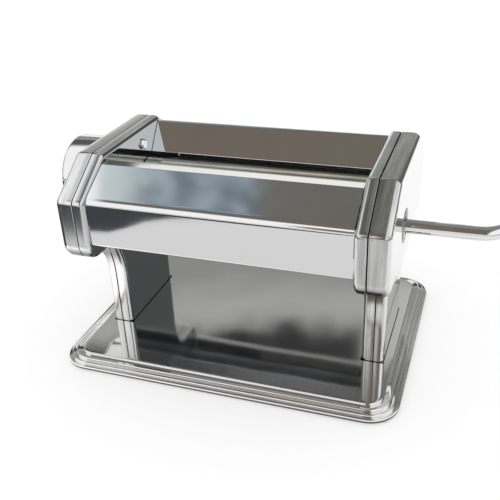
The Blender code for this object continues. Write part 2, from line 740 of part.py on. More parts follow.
def make_block(name, side):
    nose_y = BLOCK_NOSE_WIDTH / 2
    nose_z = BLOCK_NOSE_HEIGHT / 2
    rim_end = SEAT_X + BLOCK_RIM_THICKNESS
    rim = box_mesh(name, (SEAT_X, -nose_y - BLOCK_RIM, -nose_z - BLOCK_RIM),
                   (rim_end, nose_y + BLOCK_RIM, nose_z + BLOCK_RIM), BLOCK_EDGE)
    block = add_part(name, rim, (0, REAR_AXIS_Y, ROLLER_AXIS_Z), (NYLON, 0.0, 0.5), smooth=False)
    nose = box_mesh(name + "_nose", (WEB_X, -nose_y, -nose_z), (rim_end - BLOCK_EDGE, nose_y, nose_z))
    boolean(block, add_tool(name + "_nose", nose, block.location), "UNION")
    if side < 0:
        add_yoke(block, rim_end)
    bore = cylinder_mesh(name + "_bore", JOURNAL_RADIUS + RUN_GAP, WEB_X - OVERRUN, rim_end, SEGMENTS_MEDIUM)
    if side > 0:
        bore.transform(Matrix.Translation((OVERRUN, 0, 0)))
    boolean(block, add_tool(name + "_bore", bore, block.location))
    if side < 0:
        block.rotation_euler = (0, 0, math.pi)
        for step in block.modifiers:
            step.object.rotation_euler = (0, 0, math.pi)


def add_yoke(block, rim_end):
    half_y = ECCENTRIC_RADIUS + YOKE_PLAY
    half_z = ECCENTRIC_RADIUS + ECCENTRIC_THROW + YOKE_END_PLAY
    end = rim_end + YOKE_LENGTH
    frame = box_mesh("yoke_frame", (rim_end - BLOCK_EDGE, -half_y - YOKE_WALL, -half_z - YOKE_WALL),
                     (end, half_y + YOKE_WALL, half_z + YOKE_WALL), BLOCK_EDGE)
    boolean(block, add_tool("yoke_frame", frame, block.location), "UNION")
    pocket = box_mesh("yoke_pocket", (rim_end + YOKE_FLOOR, -half_y, -half_z), (end + OVERRUN, half_y, half_z))
    boolean(block, add_tool("yoke_pocket", pocket, block.location))


def make_ring(name, side, y, bore, look):
    wall = bore + RING_WALL
    lip = wall + RING_LIP
    start = COVER_INSIDE_X - SEAT_GAP
    face = COVER_FACE_X + SEAT_GAP
    end = face + RING_LIP_THICKNESS
    profile = [(start, bore), (start, wall), (face, wall), (face, lip), (end - RING_EDGE, lip),
               (end, lip - RING_EDGE), (end, bore)]
    turned_part(name, profile, (0, y, ROLLER_AXIS_Z), look, SEGMENTS_MEDIUM, side)


def make_bearings():
    make_bush("front_bush_left", -1, JOURNAL_RADIUS)
    make_bush("front_bush_right", 1, SOCKET_RADIUS)
    make_block("bearing_block_left", -1)
    make_block("bearing_block_right", 1)
    make_ring("crank_hole_ring", 1, FRONT_AXIS_Y, SOCKET_RADIUS + RUN_GAP, (STEEL, 1.0, 0.25))
    make_ring("knob_bush", -1, REAR_AXIS_Y, STEM_RADIUS + RUN_GAP, (NYLON, 0.0, 0.5))


# Eccentric shaft, knob, spring and index pin

def eccentric_start():
    return SEAT_X + BLOCK_RIM_THICKNESS + YOKE_FLOOR + SEAT_GAP


def stem_end():
    return eccentric_start() + ECCENTRIC_WIDTH + STEM_LENGTH


def make_eccentric_shaft():
    start = eccentric_start() + ECCENTRIC_WIDTH - SEAT_GAP
    floor = stem_end() - STEM_SCREW_LENGTH
    screw_bore = STEM_SCREW_RADIUS + RUN_GAP
    profile = [(start, 0.0), (start, STEM_RADIUS), (stem_end(), STEM_RADIUS), (stem_end(), screw_bore),
               (floor, screw_bore), (floor, 0.0)]
    shaft = turned_part("eccentric_shaft", profile, (0, REAR_AXIS_Y, ROLLER_AXIS_Z), (STEEL, 1.0, 0.3),
                        SEGMENTS_MEDIUM, -1)
    disc = cylinder_mesh("eccentric_disc", ECCENTRIC_RADIUS, -eccentric_start(),
                         -eccentric_start() - ECCENTRIC_WIDTH, SEGMENTS_MEDIUM)
    boolean(shaft, add_tool("eccentric_disc", disc, (0, REAR_AXIS_Y, ROLLER_AXIS_Z + ECCENTRIC_THROW)), "UNION")


def knob_profile():
    """The knob's closed half section from its cover side to its outer end."""
    bore = STEM_RADIUS + RUN_GAP
    back = KNOB_BACK_X
    end = KNOB_END_X
    shoulder = back + KNOB_HUB_FLOOR
    inner = KNOB_RADIUS - KNOB_WALL
    profile = [(back, bore), (back, KNOB_RADIUS - KNOB_REAR_EDGE), (back + KNOB_REAR_EDGE, KNOB_RADIUS)]
    for i in range(BEND_STEPS + 1):
        angle = math.pi / 2 * i / BEND_STEPS
        along = end - KNOB_EDGE_RADIUS * (1 - math.sin(angle))
        profile.append((along, KNOB_RADIUS - KNOB_EDGE_RADIUS * (1 - math.cos(angle))))
    profile += [(end, inner - KNOB_EDGE_RADIUS), (end - KNOB_WALL, inner - KNOB_EDGE_RADIUS - KNOB_WALL),
                (end - KNOB_WALL, KNOB_HUB_RADIUS), (shoulder, KNOB_HUB_RADIUS), (shoulder, bore)]
    return profile


def make_knob():
    turned_part("knob", knob_profile(), (0, REAR_AXIS_Y, ROLLER_AXIS_Z), (CHROME, 1.0, 0.15),
                SEGMENTS_LARGE, -1)


def make_knob_fasteners():
    spot = (0, REAR_AXIS_Y, ROLLER_AXIS_Z)
    seat = stem_end() + SEAT_GAP
    outside = seat + WASHER_THICKNESS
    washer = [(seat, WASHER_BORE), (seat, WASHER_RADIUS), (outside, WASHER_RADIUS), (outside, WASHER_BORE)]
    turned_part("knob_washer", washer, spot, (STEEL, 1.0, 0.3), SEGMENTS_MEDIUM, -1)
    tip = stem_end() - STEM_SCREW_LENGTH + SEAT_GAP
    head = outside + SEAT_GAP
    top = head + STEM_SCREW_HEAD
    screw = [(tip, 0.0), (tip, STEM_SCREW_RADIUS), (head, STEM_SCREW_RADIUS), (head, STEM_SCREW_HEAD_RADIUS),
             (top - STEM_SCREW_EDGE, STEM_SCREW_HEAD_RADIUS),
             (top, STEM_SCREW_HEAD_RADIUS - STEM_SCREW_EDGE), (top, 0.0)]
    turned_part("knob_screw", screw, spot, (STEEL, 1.0, 0.3), SEGMENTS_SMALL, -1)


def make_knob_spring():
    low = KNOB_BACK_X + KNOB_HUB_FLOOR + SPRING_WIRE_RADIUS + SEAT_GAP
    high = stem_end() - SPRING_WIRE_RADIUS
    turns = SPRING_TURNS
    count = turns * SPRING_POINTS
    points = []
    for i in range(count + 1):
        angle = math.tau * turns * i / count
        along = low + (high - low) * i / count
        points.append((-along, SPRING_RADIUS * math.cos(angle), SPRING_RADIUS * math.sin(angle)))
    spring = tube_object("knob_spring", points, SPRING_WIRE_RADIUS, SPRING_RESOLUTION, (STEEL, 1.0, 0.3))
    spring.location = (0, REAR_AXIS_Y, ROLLER_AXIS_Z)


def make_index_pin():
    tip = COVER_FACE_X + SEAT_GAP
    seat = KNOB_BACK_X - SEAT_GAP
    profile = [(tip, 0.0), (tip, INDEX_PIN_RADIUS), (seat, INDEX_PIN_RADIUS), (seat, 0.0)]
    turned_part("index_pin", profile, (0, REAR_AXIS_Y, ROLLER_AXIS_Z + INDEX_CIRCLE), (STEEL, 1.0, 0.3),
                SEGMENTS_SMALL, -1)


# Tubes along a path

def tube_object(name, points, radius, resolution, look):
    curve = bpy.data.curves.new(name, "CURVE")
    curve.dimensions = "3D"
    curve.bevel_depth = radius
    curve.bevel_resolution = resolution
    curve.use_fill_caps = True
    spline = curve.splines.new("POLY")
    spline.points.add(len(points) - 1)
    for node, point in zip(spline.points, points):
        node.co = (*point, 1.0)
    guide = bpy.data.objects.new(name + "_guide", curve)
    PARTS.objects.link(guide)
    bpy.context.view_layer.update()
    ready = guide.evaluated_get(bpy.context.evaluated_depsgraph_get())
    mesh = bpy.data.meshes.new_from_object(ready)
    mesh.name = name
    bpy.data.objects.remove(guide, do_unlink=True)
    work = bmesh.new()
    work.from_mesh(mesh)
    bmesh.ops.remove_doubles(work, verts=work.verts[:], dist=MERGE)
    bmesh.ops.recalc_face_normals(work, faces=work.faces[:])
    work.to_mesh(mesh)
    work.free()
    return add_part(name, mesh, (0, 0, 0), look)


# Scrapers, tie rods, posts and screws

def make_scraper(name, inward, axis_y, gap):
    """A straight blade whose face is tangent to its roller just below the nip."""
    half = WEB_X - SEAT_GAP
    mesh = box_mesh(name, (-half, -SCRAPER_WIDTH + SCRAPER_LEAD, -SCRAPER_THICKNESS),
                    (half, SCRAPER_LEAD, 0), SCRAPER_EDGE)
    reach = ROLLER_RADIUS + gap
    place_y = axis_y + inward * reach * math.cos(SCRAPER_ANGLE)
    place_z = ROLLER_AXIS_Z - reach * math.sin(SCRAPER_ANGLE)
    blade = add_part(name, mesh, (0, place_y, place_z), (ZINC, 1.0, 0.3), smooth=False)
    tilt = math.pi / 2 - SCRAPER_ANGLE
    blade.rotation_euler = (tilt, 0, 0) if inward > 0 else (tilt, 0, math.pi)


def make_tie_rods():
    middle = WEB_X - SEAT_GAP
    thread = WEB_BACK_X + TIE_THREAD_LENGTH
    profile = [(-thread, 0.0), (-thread, TIE_THREAD_RADIUS), (-middle, TIE_THREAD_RADIUS),
               (-middle, TIE_RADIUS), (middle, TIE_RADIUS), (middle, TIE_THREAD_RADIUS),
               (thread, TIE_THREAD_RADIUS), (thread, 0.0)]
    for end, place in ((-1, "front"), (1, "rear")):
        spot = (0, end * TIE_Y, TIE_Z)
        turned_part(place + "_tie_rod", profile, spot, (ZINC, 1.0, 0.3), SEGMENTS_SMALL)
        for side, word in ((-1, "left"), (1, "right")):
            make_nut("tie_nut_" + place + "_" + word, side, spot)


def make_nut(name, side, spot):
    start = side * SEAT_X
    end = side * (SEAT_X + NUT_THICKNESS)
    nut = add_part(name, cylinder_mesh(name, NUT_RADIUS, start, end, NUT_SIDES), spot, (ZINC, 1.0, 0.35),
                   smooth=False)
    bore = cylinder_mesh(name + "_bore", TIE_THREAD_RADIUS + RUN_GAP, start - side * OVERRUN,
                         end + side * OVERRUN, SEGMENTS_SMALL)
    boolean(nut, add_tool(name + "_bore", bore, spot))


def make_posts():
    post_end = COVER_INSIDE_X - SEAT_GAP
    post = [(SEAT_X, POST_BORE_RADIUS), (SEAT_X, POST_RADIUS), (post_end, POST_RADIUS),
            (post_end, POST_BORE_RADIUS)]
    seat = WEB_X - SEAT_GAP
    top = seat - POST_SCREW_HEAD
    tip = SEAT_X + POST_SCREW_LENGTH
    screw = [(top, 0.0), (top, POST_SCREW_HEAD_RADIUS - POST_SCREW_EDGE),
             (top + POST_SCREW_EDGE, POST_SCREW_HEAD_RADIUS), (seat, POST_SCREW_HEAD_RADIUS),
             (seat, POST_SCREW_RADIUS), (tip, POST_SCREW_RADIUS), (tip, 0.0)]
    for side, word in ((-1, "left"), (1, "right")):
        spot = (0, POST_OFFSET, POST_Z)
        turned_part("cover_post_" + word, post, spot, (ZINC, 1.0, 0.35), SEGMENTS_SMALL, side)
        turned_part("cover_screw_" + word, screw, spot, (CHROME, 1.0, 0.2), SEGMENTS_SMALL, side)


# Crank

def crank_path():
    """The rod's centre line: x along the machine, y out along the arm."""
    points = [(COVER_FACE_X + SOCKET_PROUD - CRANK_INSERTION, 0.0)]
    start = COVER_FACE_X + CRANK_STRAIGHT
    radius = CRANK_BEND_RADIUS
    steps = ARC_STEPS
    for i in range(steps + 1):
        angle = CRANK_BEND_ANGLE * i / steps
        points.append((start + radius * math.sin(angle), radius * (1 - math.cos(angle))))
    end_x = start + BEND_ADVANCE * 2 + ARM_ADVANCE
    for i in range(steps, -1, -1):
        angle = CRANK_BEND_ANGLE * i / steps
        points.append((end_x - radius * math.sin(angle), CRANK_ARM_RADIUS - radius * (1 - math.cos(angle))))
    points.append((END_NUT_X + END_NUT_BORE_DEPTH - SEAT_GAP, CRANK_ARM_RADIUS))
    return points


def make_crank_rod():
    points = [(x, y, 0) for x, y in crank_path()]
    rod = tube_object("crank_rod", points, CRANK_ROD_RADIUS, ROD_RESOLUTION, (CHROME, 1.0, 0.15))
    rod.location = (0, FRONT_AXIS_Y, ROLLER_AXIS_Z)
    rod.rotation_euler = (CRANK_REST_ANGLE, 0, 0)
    pin = cylinder_mesh("crank_pin", CRANK_PIN_RADIUS, -CRANK_PIN_REACH, CRANK_PIN_REACH, SEGMENTS_SMALL)
    pin.transform(Matrix.Rotation(math.pi / 2, 4, "Y"))
    pin.transform(Matrix.Translation((COVER_FACE_X + SOCKET_PROUD - CRANK_PIN_SETBACK, 0, 0)))
    tool = add_tool("crank_pin", pin, rod.location)
    tool.rotation_euler = rod.rotation_euler
    boolean(rod, tool, "UNION")


def grip_spot():
    return (0, FRONT_AXIS_Y + CRANK_ARM_RADIUS * math.cos(CRANK_REST_ANGLE),
            ROLLER_AXIS_Z + CRANK_ARM_RADIUS * math.sin(CRANK_REST_ANGLE))


def grip_radius(share):
    """Radius of the grip: a neck that swells to the belly and draws in a little at the end."""
    if share < GRIP_BELLY_SHARE:
        blend = 0.5 - 0.5 * math.cos(math.pi * share / GRIP_BELLY_SHARE)
        return GRIP_NECK_RADIUS + (GRIP_BELLY_RADIUS - GRIP_NECK_RADIUS) * blend
    blend = 0.5 - 0.5 * math.cos(math.pi * (share - GRIP_BELLY_SHARE) / (1 - GRIP_BELLY_SHARE))
    return GRIP_BELLY_RADIUS + (GRIP_END_RADIUS - GRIP_BELLY_RADIUS) * blend


def make_grip():
    bore = CRANK_ROD_RADIUS + SEAT_GAP
    edge = GRIP_EDGE_RADIUS
    end = GRIP_X + GRIP_LENGTH
    profile = [(GRIP_X, bore), (GRIP_X, GRIP_NECK_RADIUS - edge), (GRIP_X + edge, GRIP_NECK_RADIUS)]
    for i in range(1, GRIP_RINGS):
        share = i / GRIP_RINGS
        profile.append((GRIP_X + edge + (GRIP_LENGTH - edge * 2) * share, grip_radius(share)))
    profile += [(end - edge, GRIP_END_RADIUS), (end, GRIP_END_RADIUS - edge), (end, bore)]
    turned_part("crank_grip", profile, grip_spot(), (BLACK, 0.0, 0.45), SEGMENTS_MEDIUM)


def make_crank_trim():
    bore = CRANK_ROD_RADIUS + SEAT_GAP
    end = FERRULE_X + FERRULE_LENGTH
    ferrule = [(FERRULE_X, bore), (FERRULE_X, FERRULE_RADIUS - FERRULE_EDGE),
               (FERRULE_X + FERRULE_EDGE, FERRULE_RADIUS), (end, FERRULE_RADIUS), (end, bore)]
    turned_part("grip_ferrule", ferrule, grip_spot(), (CHROME, 1.0, 0.2), SEGMENTS_MEDIUM)
    floor = END_NUT_X + END_NUT_BORE_DEPTH
    nut = [(END_NUT_X, bore), (END_NUT_X, END_NUT_RADIUS)]
    for i in range(BEND_STEPS + 1):
        angle = math.pi / 2 * i / BEND_STEPS
        along = END_NUT_BORE_DEPTH / 2
        nut.append((END_NUT_X + along + (END_NUT_LENGTH - along) * math.sin(angle),
                    END_NUT_RADIUS * math.cos(angle)))
    nut[-1] = (END_NUT_X + END_NUT_LENGTH, 0.0)
    cap = [(floor, 0.0), (floor, bore)] + nut
    make_capped_nut(cap)


def make_capped_nut(profile):
    mesh = bpy.data.meshes.new("grip_end_nut")
    points = [(radius, 0.0, along) for along, radius in reversed(profile)]
    mesh.from_pydata(points, [(i, i + 1) for i in range(len(points) - 1)], [])
    part = add_part("grip_end_nut", mesh, grip_spot(), (CHROME, 1.0, 0.2), smooth=False)
    part.rotation_euler = (0, math.pi / 2, 0)
    turn = part.modifiers.new("turn", "SCREW")
    turn.axis = "Z"
    turn.steps = SEGMENTS_SMALL
    turn.render_steps = SEGMENTS_SMALL
    turn.use_merge_vertices = True
    turn.merge_threshold = MERGE


def build():
    make_base()
    make_feet()
    make_side_plate(-1, "left", JOURNAL_RADIUS)
    make_side_plate(1, "right", SOCKET_RADIUS)
    make_covers()
    make_guards()
    make_front_roller()
    make_rear_roller()
    make_gears()
    make_bearings()
    make_eccentric_shaft()
    make_knob()
    make_knob_fasteners()
    make_knob_spring()
    make_index_pin()
    make_scraper("front_scraper", 1, FRONT_AXIS_Y, SCRAPER_GAP)
    make_scraper("rear_scraper", -1, REAR_AXIS_Y, REAR_SCRAPER_GAP)
    make_tie_rods()
    make_posts()
    make_crank_rod()
    make_grip()
    make_crank_trim()
    bpy.context.view_layer.update()


build()
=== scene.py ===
"""Clay press: finishes, finer sheet pieces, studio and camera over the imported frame."""
import json
import math
from collections import namedtuple

import bmesh
import bpy
from mathutils import Matrix, Vector


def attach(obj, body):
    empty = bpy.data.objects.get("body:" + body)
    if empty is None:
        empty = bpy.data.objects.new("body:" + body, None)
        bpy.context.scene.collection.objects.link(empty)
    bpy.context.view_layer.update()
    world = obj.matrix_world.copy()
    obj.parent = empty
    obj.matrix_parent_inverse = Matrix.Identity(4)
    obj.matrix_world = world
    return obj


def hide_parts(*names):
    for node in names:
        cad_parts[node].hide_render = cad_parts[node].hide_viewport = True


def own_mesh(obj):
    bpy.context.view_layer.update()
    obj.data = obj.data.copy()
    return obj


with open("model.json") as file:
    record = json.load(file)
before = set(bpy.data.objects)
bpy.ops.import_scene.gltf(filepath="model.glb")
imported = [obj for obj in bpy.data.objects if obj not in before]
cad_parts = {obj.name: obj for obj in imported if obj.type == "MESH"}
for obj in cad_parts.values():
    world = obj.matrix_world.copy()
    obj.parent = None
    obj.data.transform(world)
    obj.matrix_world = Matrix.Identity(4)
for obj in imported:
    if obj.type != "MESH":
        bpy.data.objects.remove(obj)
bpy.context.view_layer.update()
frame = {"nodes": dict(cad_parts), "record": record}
NODES = frame["nodes"]
SLOTS = {entry["node"]: entry["material_slot"] for entry in frame["record"]["subparts"]}

SHARP_ANGLE = math.radians(32.0)
WELD_DISTANCE = 0.00002
MERGE = 0.000005

# Textures of the finishes: scales of their noises and heights of their bumps
NOISE_ROUGHNESS = 0.6
TONE_START, TONE_END = 0.3, 0.7
EVEN = (1, 1, 1)
HAZE_SCALE = 22.0
BASE_HAZE_SCALE = 18.0
BASE_PATCH_SCALE = 34.0
WAVE_SCALE = 16.0
BASE_WAVE_SCALE = 14.0
POLISH_SCALE = 1400.0
POLISH_STRETCH = (0.03, 1, 1)
POLISH_HEIGHT = 0.00001
DRAWN_SCALE = 60.0
DRAWN_STRETCH = (6.0, 0.5, 0.5)
DRAWN_HEIGHT = 0.00003
DRAWN_WAVE = 0.00016
SHEET_WAVE = 0.00012
BASE_WAVE = 0.00025
RING_SCALE = 3000.0
RING_STRETCH = (1.0, 0.02, 0.02)
RING_HEIGHT = 0.00002
BLOTCH_SCALE = 60.0
PLATED_SCALE = 300.0
PLATED_HEIGHT = 0.00005
CLOUD_SCALE = 90.0

# Colours of the finishes, low and high
SHEET_TONES = ((0.84, 0.84, 0.84), (0.90, 0.90, 0.90))
BASE_TONES = ((0.84, 0.84, 0.835), (0.90, 0.90, 0.90))
# Walls of the side sheets: one sheet with painted light and shade, lighter on the left side and darker on
# the right
LIT_LEFT_WALL = ((0.72, 0.72, 0.715), (0.90, 0.90, 0.895))
SHADED_RIGHT_WALL = ((0.50, 0.50, 0.495), (0.74, 0.74, 0.735))
# Inner webs of the plates: painted shade, with a bluish painted reflection
SHADED_PLATE_WEB = ((0.44, 0.48, 0.50), (0.54, 0.58, 0.60))
# Rollers: ground steel with a brown tint painted in, a painted reflection of the brown they mirror
ROLLER_REFLECTION_TONES = ((0.50, 0.47, 0.40), (0.60, 0.57, 0.49))
GEAR_TONES = ((0.42, 0.41, 0.40), (0.55, 0.54, 0.53))
ZINC_TONES = ((0.56, 0.57, 0.60), (0.68, 0.69, 0.71))
RING_TONES = ((0.24, 0.25, 0.245), (0.38, 0.39, 0.385))
# Tie rods: near black, painted shade for the dark gap where they show between guard and roller
SHADED_TIE_TONES = ((0.10, 0.105, 0.115), (0.18, 0.19, 0.21))
NYLON_TONES = ((0.74, 0.72, 0.66), (0.82, 0.80, 0.75))
GRIP_TONES = ((0.018, 0.018, 0.019), (0.030, 0.030, 0.031))
RUBBER_TONES = ((0.020, 0.020, 0.020), (0.040, 0.040, 0.040))
# Painted shade: dark colours put on undersides, inner faces and the base's lower edge
GUARD_PAINTED_SHADE = (0.22, 0.22, 0.215)
DRAWN_PAINTED_SHADE = (0.24, 0.24, 0.235)
BOTTOM_PAINTED_SHADE = (0.10, 0.10, 0.10)
GUARD_PLAIN = (0.88, 0.88, 0.88)
DRAWN_PLAIN = (0.85, 0.85, 0.85)
BASE_PLAIN = (0.86, 0.86, 0.86)

# Where the finishes of the sheets change and where painted shade comes in, as a fade from nothing to full:
# by the normal, by the place times the normal, by a noise or by the height
GUARD_UNDER = (-0.92, -0.97)
GUARD_INSIDE = (-0.045, -0.055)
DRAWN_WEB = (0.45, 0.90)
DRAWN_UNDER = (-0.04, -0.50)
DRAWN_CONTRAST = (0.30, 0.70)
BOTTOM_SHADE_Z = (0.0026, 0.0020)

# Sizes of the finer pieces, in the frame's own metres
MACHINE_X = -0.0681778
ROLLER_AXIS_Z = 0.091
FRONT_AXIS_Y = -0.0153
REAR_AXIS_Y = 0.0153
BODY_HALF = 0.066
BODY_TOP = 0.127
FOLD_Z = 0.108
TOP_HALF = 0.03729
UNDERSIDE_Z = 0.0695
LEG_HALF = 0.03102
LEG_END_Z = 0.003
FLARE_LOW_Z = 0.0515
FLARE_WIDTH = 0.0065

# Corners of half a side: across, height, bend radius and steps of the bend
HALF_SIDE = (
    (LEG_HALF, LEG_END_Z, 0.0030, 5),
    (LEG_HALF, FLARE_LOW_Z, 0.0450, 10),
    (LEG_HALF + FLARE_WIDTH, UNDERSIDE_Z, 0.0090, 12),
    (BODY_HALF, UNDERSIDE_Z, 0.0110, 14),
    (BODY_HALF, FOLD_Z, 0.0045, 8),
    (TOP_HALF, BODY_TOP, 0.0045, 8),
)

# A pan-shaped side: its open edge, the way its web faces, its depth and sheet, and its bend and crown
Pan = namedtuple("Pan", "edge_x facing depth sheet crown bend bend_steps leg_depth")
PLATE = Pan(edge_x=0.0831, facing=-1, depth=0.0069, sheet=0.0012, crown=0.00005, bend=0.0030, bend_steps=10,
            leg_depth=None)
COVER = Pan(edge_x=0.0835, facing=1, depth=0.0114, sheet=0.0009, crown=0.00007, bend=0.0044, bend_steps=14,
            leg_depth=0.0058)
PAN_LIP = 0.0002
WALL_STEPS = 8

# Holes of the sides: the place of a centre, a radius, or the half sizes of a box
CUT_REACH = 0.004
LEFT_BUSH_HOLE = 0.00815
RIGHT_BUSH_HOLE = 0.01015
BLOCK_SLOT_HALF = (CUT_REACH, 0.00945, 0.0070)
POST_Y = 0.011
POST_Z = 0.116
POST_HOLE = 0.0020
TIE_Y = 0.050
TIE_Z = 0.090
TIE_HOLE = 0.0028
STEM_HOLE = 0.00785
CRANK_HOLE = 0.00935
INDEX_CIRCLE = 0.018
INDEX_HOLE = 0.0017
INDEX_STEPS = 9
INDEX_STEP_ANGLE = math.radians(20.0)
SEGMENTS = 48
SMALL_SEGMENTS = 24
INDEX_SEGMENTS = 20

BASE_HALF_LENGTH = 0.104
BASE_HALF_DEPTH = 0.0785
BASE_CORNER = 0.018
BASE_CORNER_STEPS = 20
BASE_EDGE_Z = 0.0008
BASE_SHEET = 0.0008
BASE_SLOT_X = 0.08265
BASE_SLOT_HALF = (0.00695, 0.0316, 0.01)

# Base rim: inward distance and height over the rim's lower edge
RIM_STEPS = (
    (0.00060, 0.00000),
    (0.00015, 0.00022),
    (0.00000, 0.00080),
    (0.00004, 0.00200),
    (0.00014, 0.00232),
    (0.00034, 0.00248),
    (0.00060, 0.00250),
    (0.00140, 0.00238),
    (0.00200, 0.00229),
    (0.00216, 0.00236),
    (0.00222, 0.00262),
    (0.00230, 0.00340),
    (0.00240, 0.00370),
    (0.00262, 0.00388),
    (0.00290, 0.00390),
    (0.00380, 0.00374),
    (0.00480, 0.00356),
    (0.00500, 0.00364),
    (0.00508, 0.00390),
    (0.00516, 0.00470),
    (0.00528, 0.00500),
    (0.00552, 0.00519),
    (0.00585, 0.00520),
    (0.00740, 0.00494),
    (0.00910, 0.00466),
    (0.00930, 0.00474),
    (0.00938, 0.00500),
    (0.00948, 0.00578),
    (0.00960, 0.00598),
    (0.00984, 0.00614),
    (0.01020, 0.00620),
    (0.01140, 0.00620),
)

# Guard sections: depth, height and bend radius. The front one has a narrow strip at its top.
FRONT_GUARD = (
    (-0.0576, 0.0802, 0.0),
    (-0.0631, 0.0802, 0.0014),
    (-0.0631, 0.1086, 0.0062),
    (-0.0404, 0.1219, 0.0028),
    (-0.0342, 0.12316, 0.0024),
    (-0.0222, 0.1076, 0.0),
)
REAR_GUARD = (
    (-0.0576, 0.0802, 0.0),
    (-0.0631, 0.0802, 0.0014),
    (-0.0631, 0.1086, 0.0048),
    (-0.0355, 0.1248, 0.0018),
    (-0.0222, 0.1076, 0.0),
)
GUARD_HALF_LENGTH = 0.0759
GUARD_SHEET = 0.0008
GUARD_BEND_STEPS = 10

# The crank hole's ring: distance out from the cover's face, and radius
RING_BACK = ((-0.0012, 0.0072), (-0.0012, 0.0090), (0.0, 0.0090), (0.0, 0.0100))
RING_FRONT = ((0.0004, 0.0078), (0.0002, 0.0073), (-0.0002, 0.0072))
RING_RADIUS = 0.0100
RING_PROUD = 0.0004
RING_ROUNDING = 0.0016
RING_STEPS = 6
RING_SEGMENTS = 64

SPRING_RADIUS = 0.0082
SPRING_WIRE = 0.0007
SPRING_TURNS = 4
SPRING_POINTS = 32
SPRING_SIDES = 10

# The floor: its own shade, and what it adds to that for the eye and, as painted light that changes by
# place, for mirrored rays; far off to the sides mirrored rays see a darker painted shade
WHITE = (1.0, 1.0, 1.0)
FLOOR_HALF = 3.0
FLOOR_Z = -0.0002
FLOOR_SHADE = (0.62, 0.62, 0.62)
FLOOR_FAR_PAINTED_SHADE = (0.22, 0.22, 0.22)
FLOOR_SEEN_LIFT = 0.50
FLOOR_FRONT_LIFT = 0.20
FLOOR_REAR_LIFT = 0.46
FLOOR_LIFT_Y = (-0.10, 0.10)
STRIP_LEFT_LIFT = 0.60
STRIP_RIGHT_LIFT = 0.20
STRIP_X = (-0.18, 0.04)
STRIP = (("Y", -0.17, -0.13), ("Y", -0.05, -0.07))
NEAR_FLOOR = (("X", 0.60, 0.32), ("X", -1.0, -0.62))

# How far in from the base's edges the floor's lift has gone, and where it starts to go
UNDER_BASE = (0.009, 0.004)

# Dark cards that lie on the floor at its front left, rear right and left, and only the metal mirrors
CARD_Z = 0.001
CARD_COLOUR = (0.055, 0.058, 0.065)
CARDS = {
    "dark_card": (
        (-0.60, -0.20), (-0.274, -0.205), (-0.253, -0.218), (-0.233, -0.221), (-0.221, -0.234),
        (-0.212, -0.248), (-0.194, -0.259), (-0.170, -0.268), (-0.146, -0.273), (-0.120, -0.282),
        (-0.06, -0.37), (-0.04, -0.60), (-0.60, -0.60)),
    "rear_card": ((0.18, 0.13), (0.40, 0.13), (0.40, 0.27), (0.18, 0.27)),
    "left_card": ((-0.60, -0.20), (-0.30, -0.20), (-0.225, 0.12), (-0.60, 0.12)),
}

# The room that the metal mirrors: colours by the height of the mirrored direction
REAR_STOPS = (
    (0.00, (1.0, 1.0, 1.0)),
    (0.22, (1.0, 1.0, 1.0)),
    (0.29, (0.32, 0.32, 0.31)),
    (0.50, (0.27, 0.27, 0.26)),
    (0.540, (0.42, 0.42, 0.41)),
    (0.556, (0.40, 0.40, 0.39)),
    (0.570, (0.015, 0.015, 0.017)),
    (0.602, (0.020, 0.020, 0.022)),
    (0.612, (0.06, 0.06, 0.06)),
    (0.632, (0.08, 0.08, 0.08)),
    (0.645, (0.95, 0.95, 0.93)),
    (0.800, (0.95, 0.95, 0.93)),
    (0.830, (0.20, 0.20, 0.19)),
    (1.00, (0.145, 0.14, 0.125)),
)
FRONT_STOPS = (
    (0.00, (1.0, 1.0, 1.0)),
    (0.55, (1.0, 1.0, 1.0)),
    (0.64, (0.18, 0.148, 0.12)),
    (1.00, (0.15, 0.14, 0.125)),
)
FRONT_RIGHT_STOPS = (
    (0.00, (1.0, 1.0, 1.0)),
    (0.03, (1.0, 1.0, 1.0)),
    (0.06, (0.24, 0.15, 0.10)),
    (0.35, (0.24, 0.16, 0.11)),
    (0.38, (1.0, 1.0, 1.0)),
    (0.58, (1.0, 1.0, 1.0)),
    (0.65, (0.18, 0.148, 0.12)),
    (1.00, (0.15, 0.14, 0.125)),
)
SIDE_STOPS = (
    (0.00, (0.55, 0.55, 0.54)),
    (0.10, (0.24, 0.24, 0.24)),
    (0.18, (0.80, 0.80, 0.79)),
    (0.30, (0.62, 0.62, 0.61)),
    (0.45, (0.20, 0.20, 0.20)),
)
WARM_DARK = (0.17, 0.145, 0.12)
DARK_SIDE = (0.12, 0.12, 0.115)
SHADE_LEFT = (0.10, 0.10, 0.09)
SHADE_RIGHT = (0.24, 0.24, 0.23)
CLEAR_RIGHT = (0.50, 0.50, 0.49)
GLOW_LOW = (0.125, 0.165, 0.20)
GLOW_HIGH = (0.38, 0.46, 0.50)
GLOW_EDGE = (0.56, 0.63, 0.65)

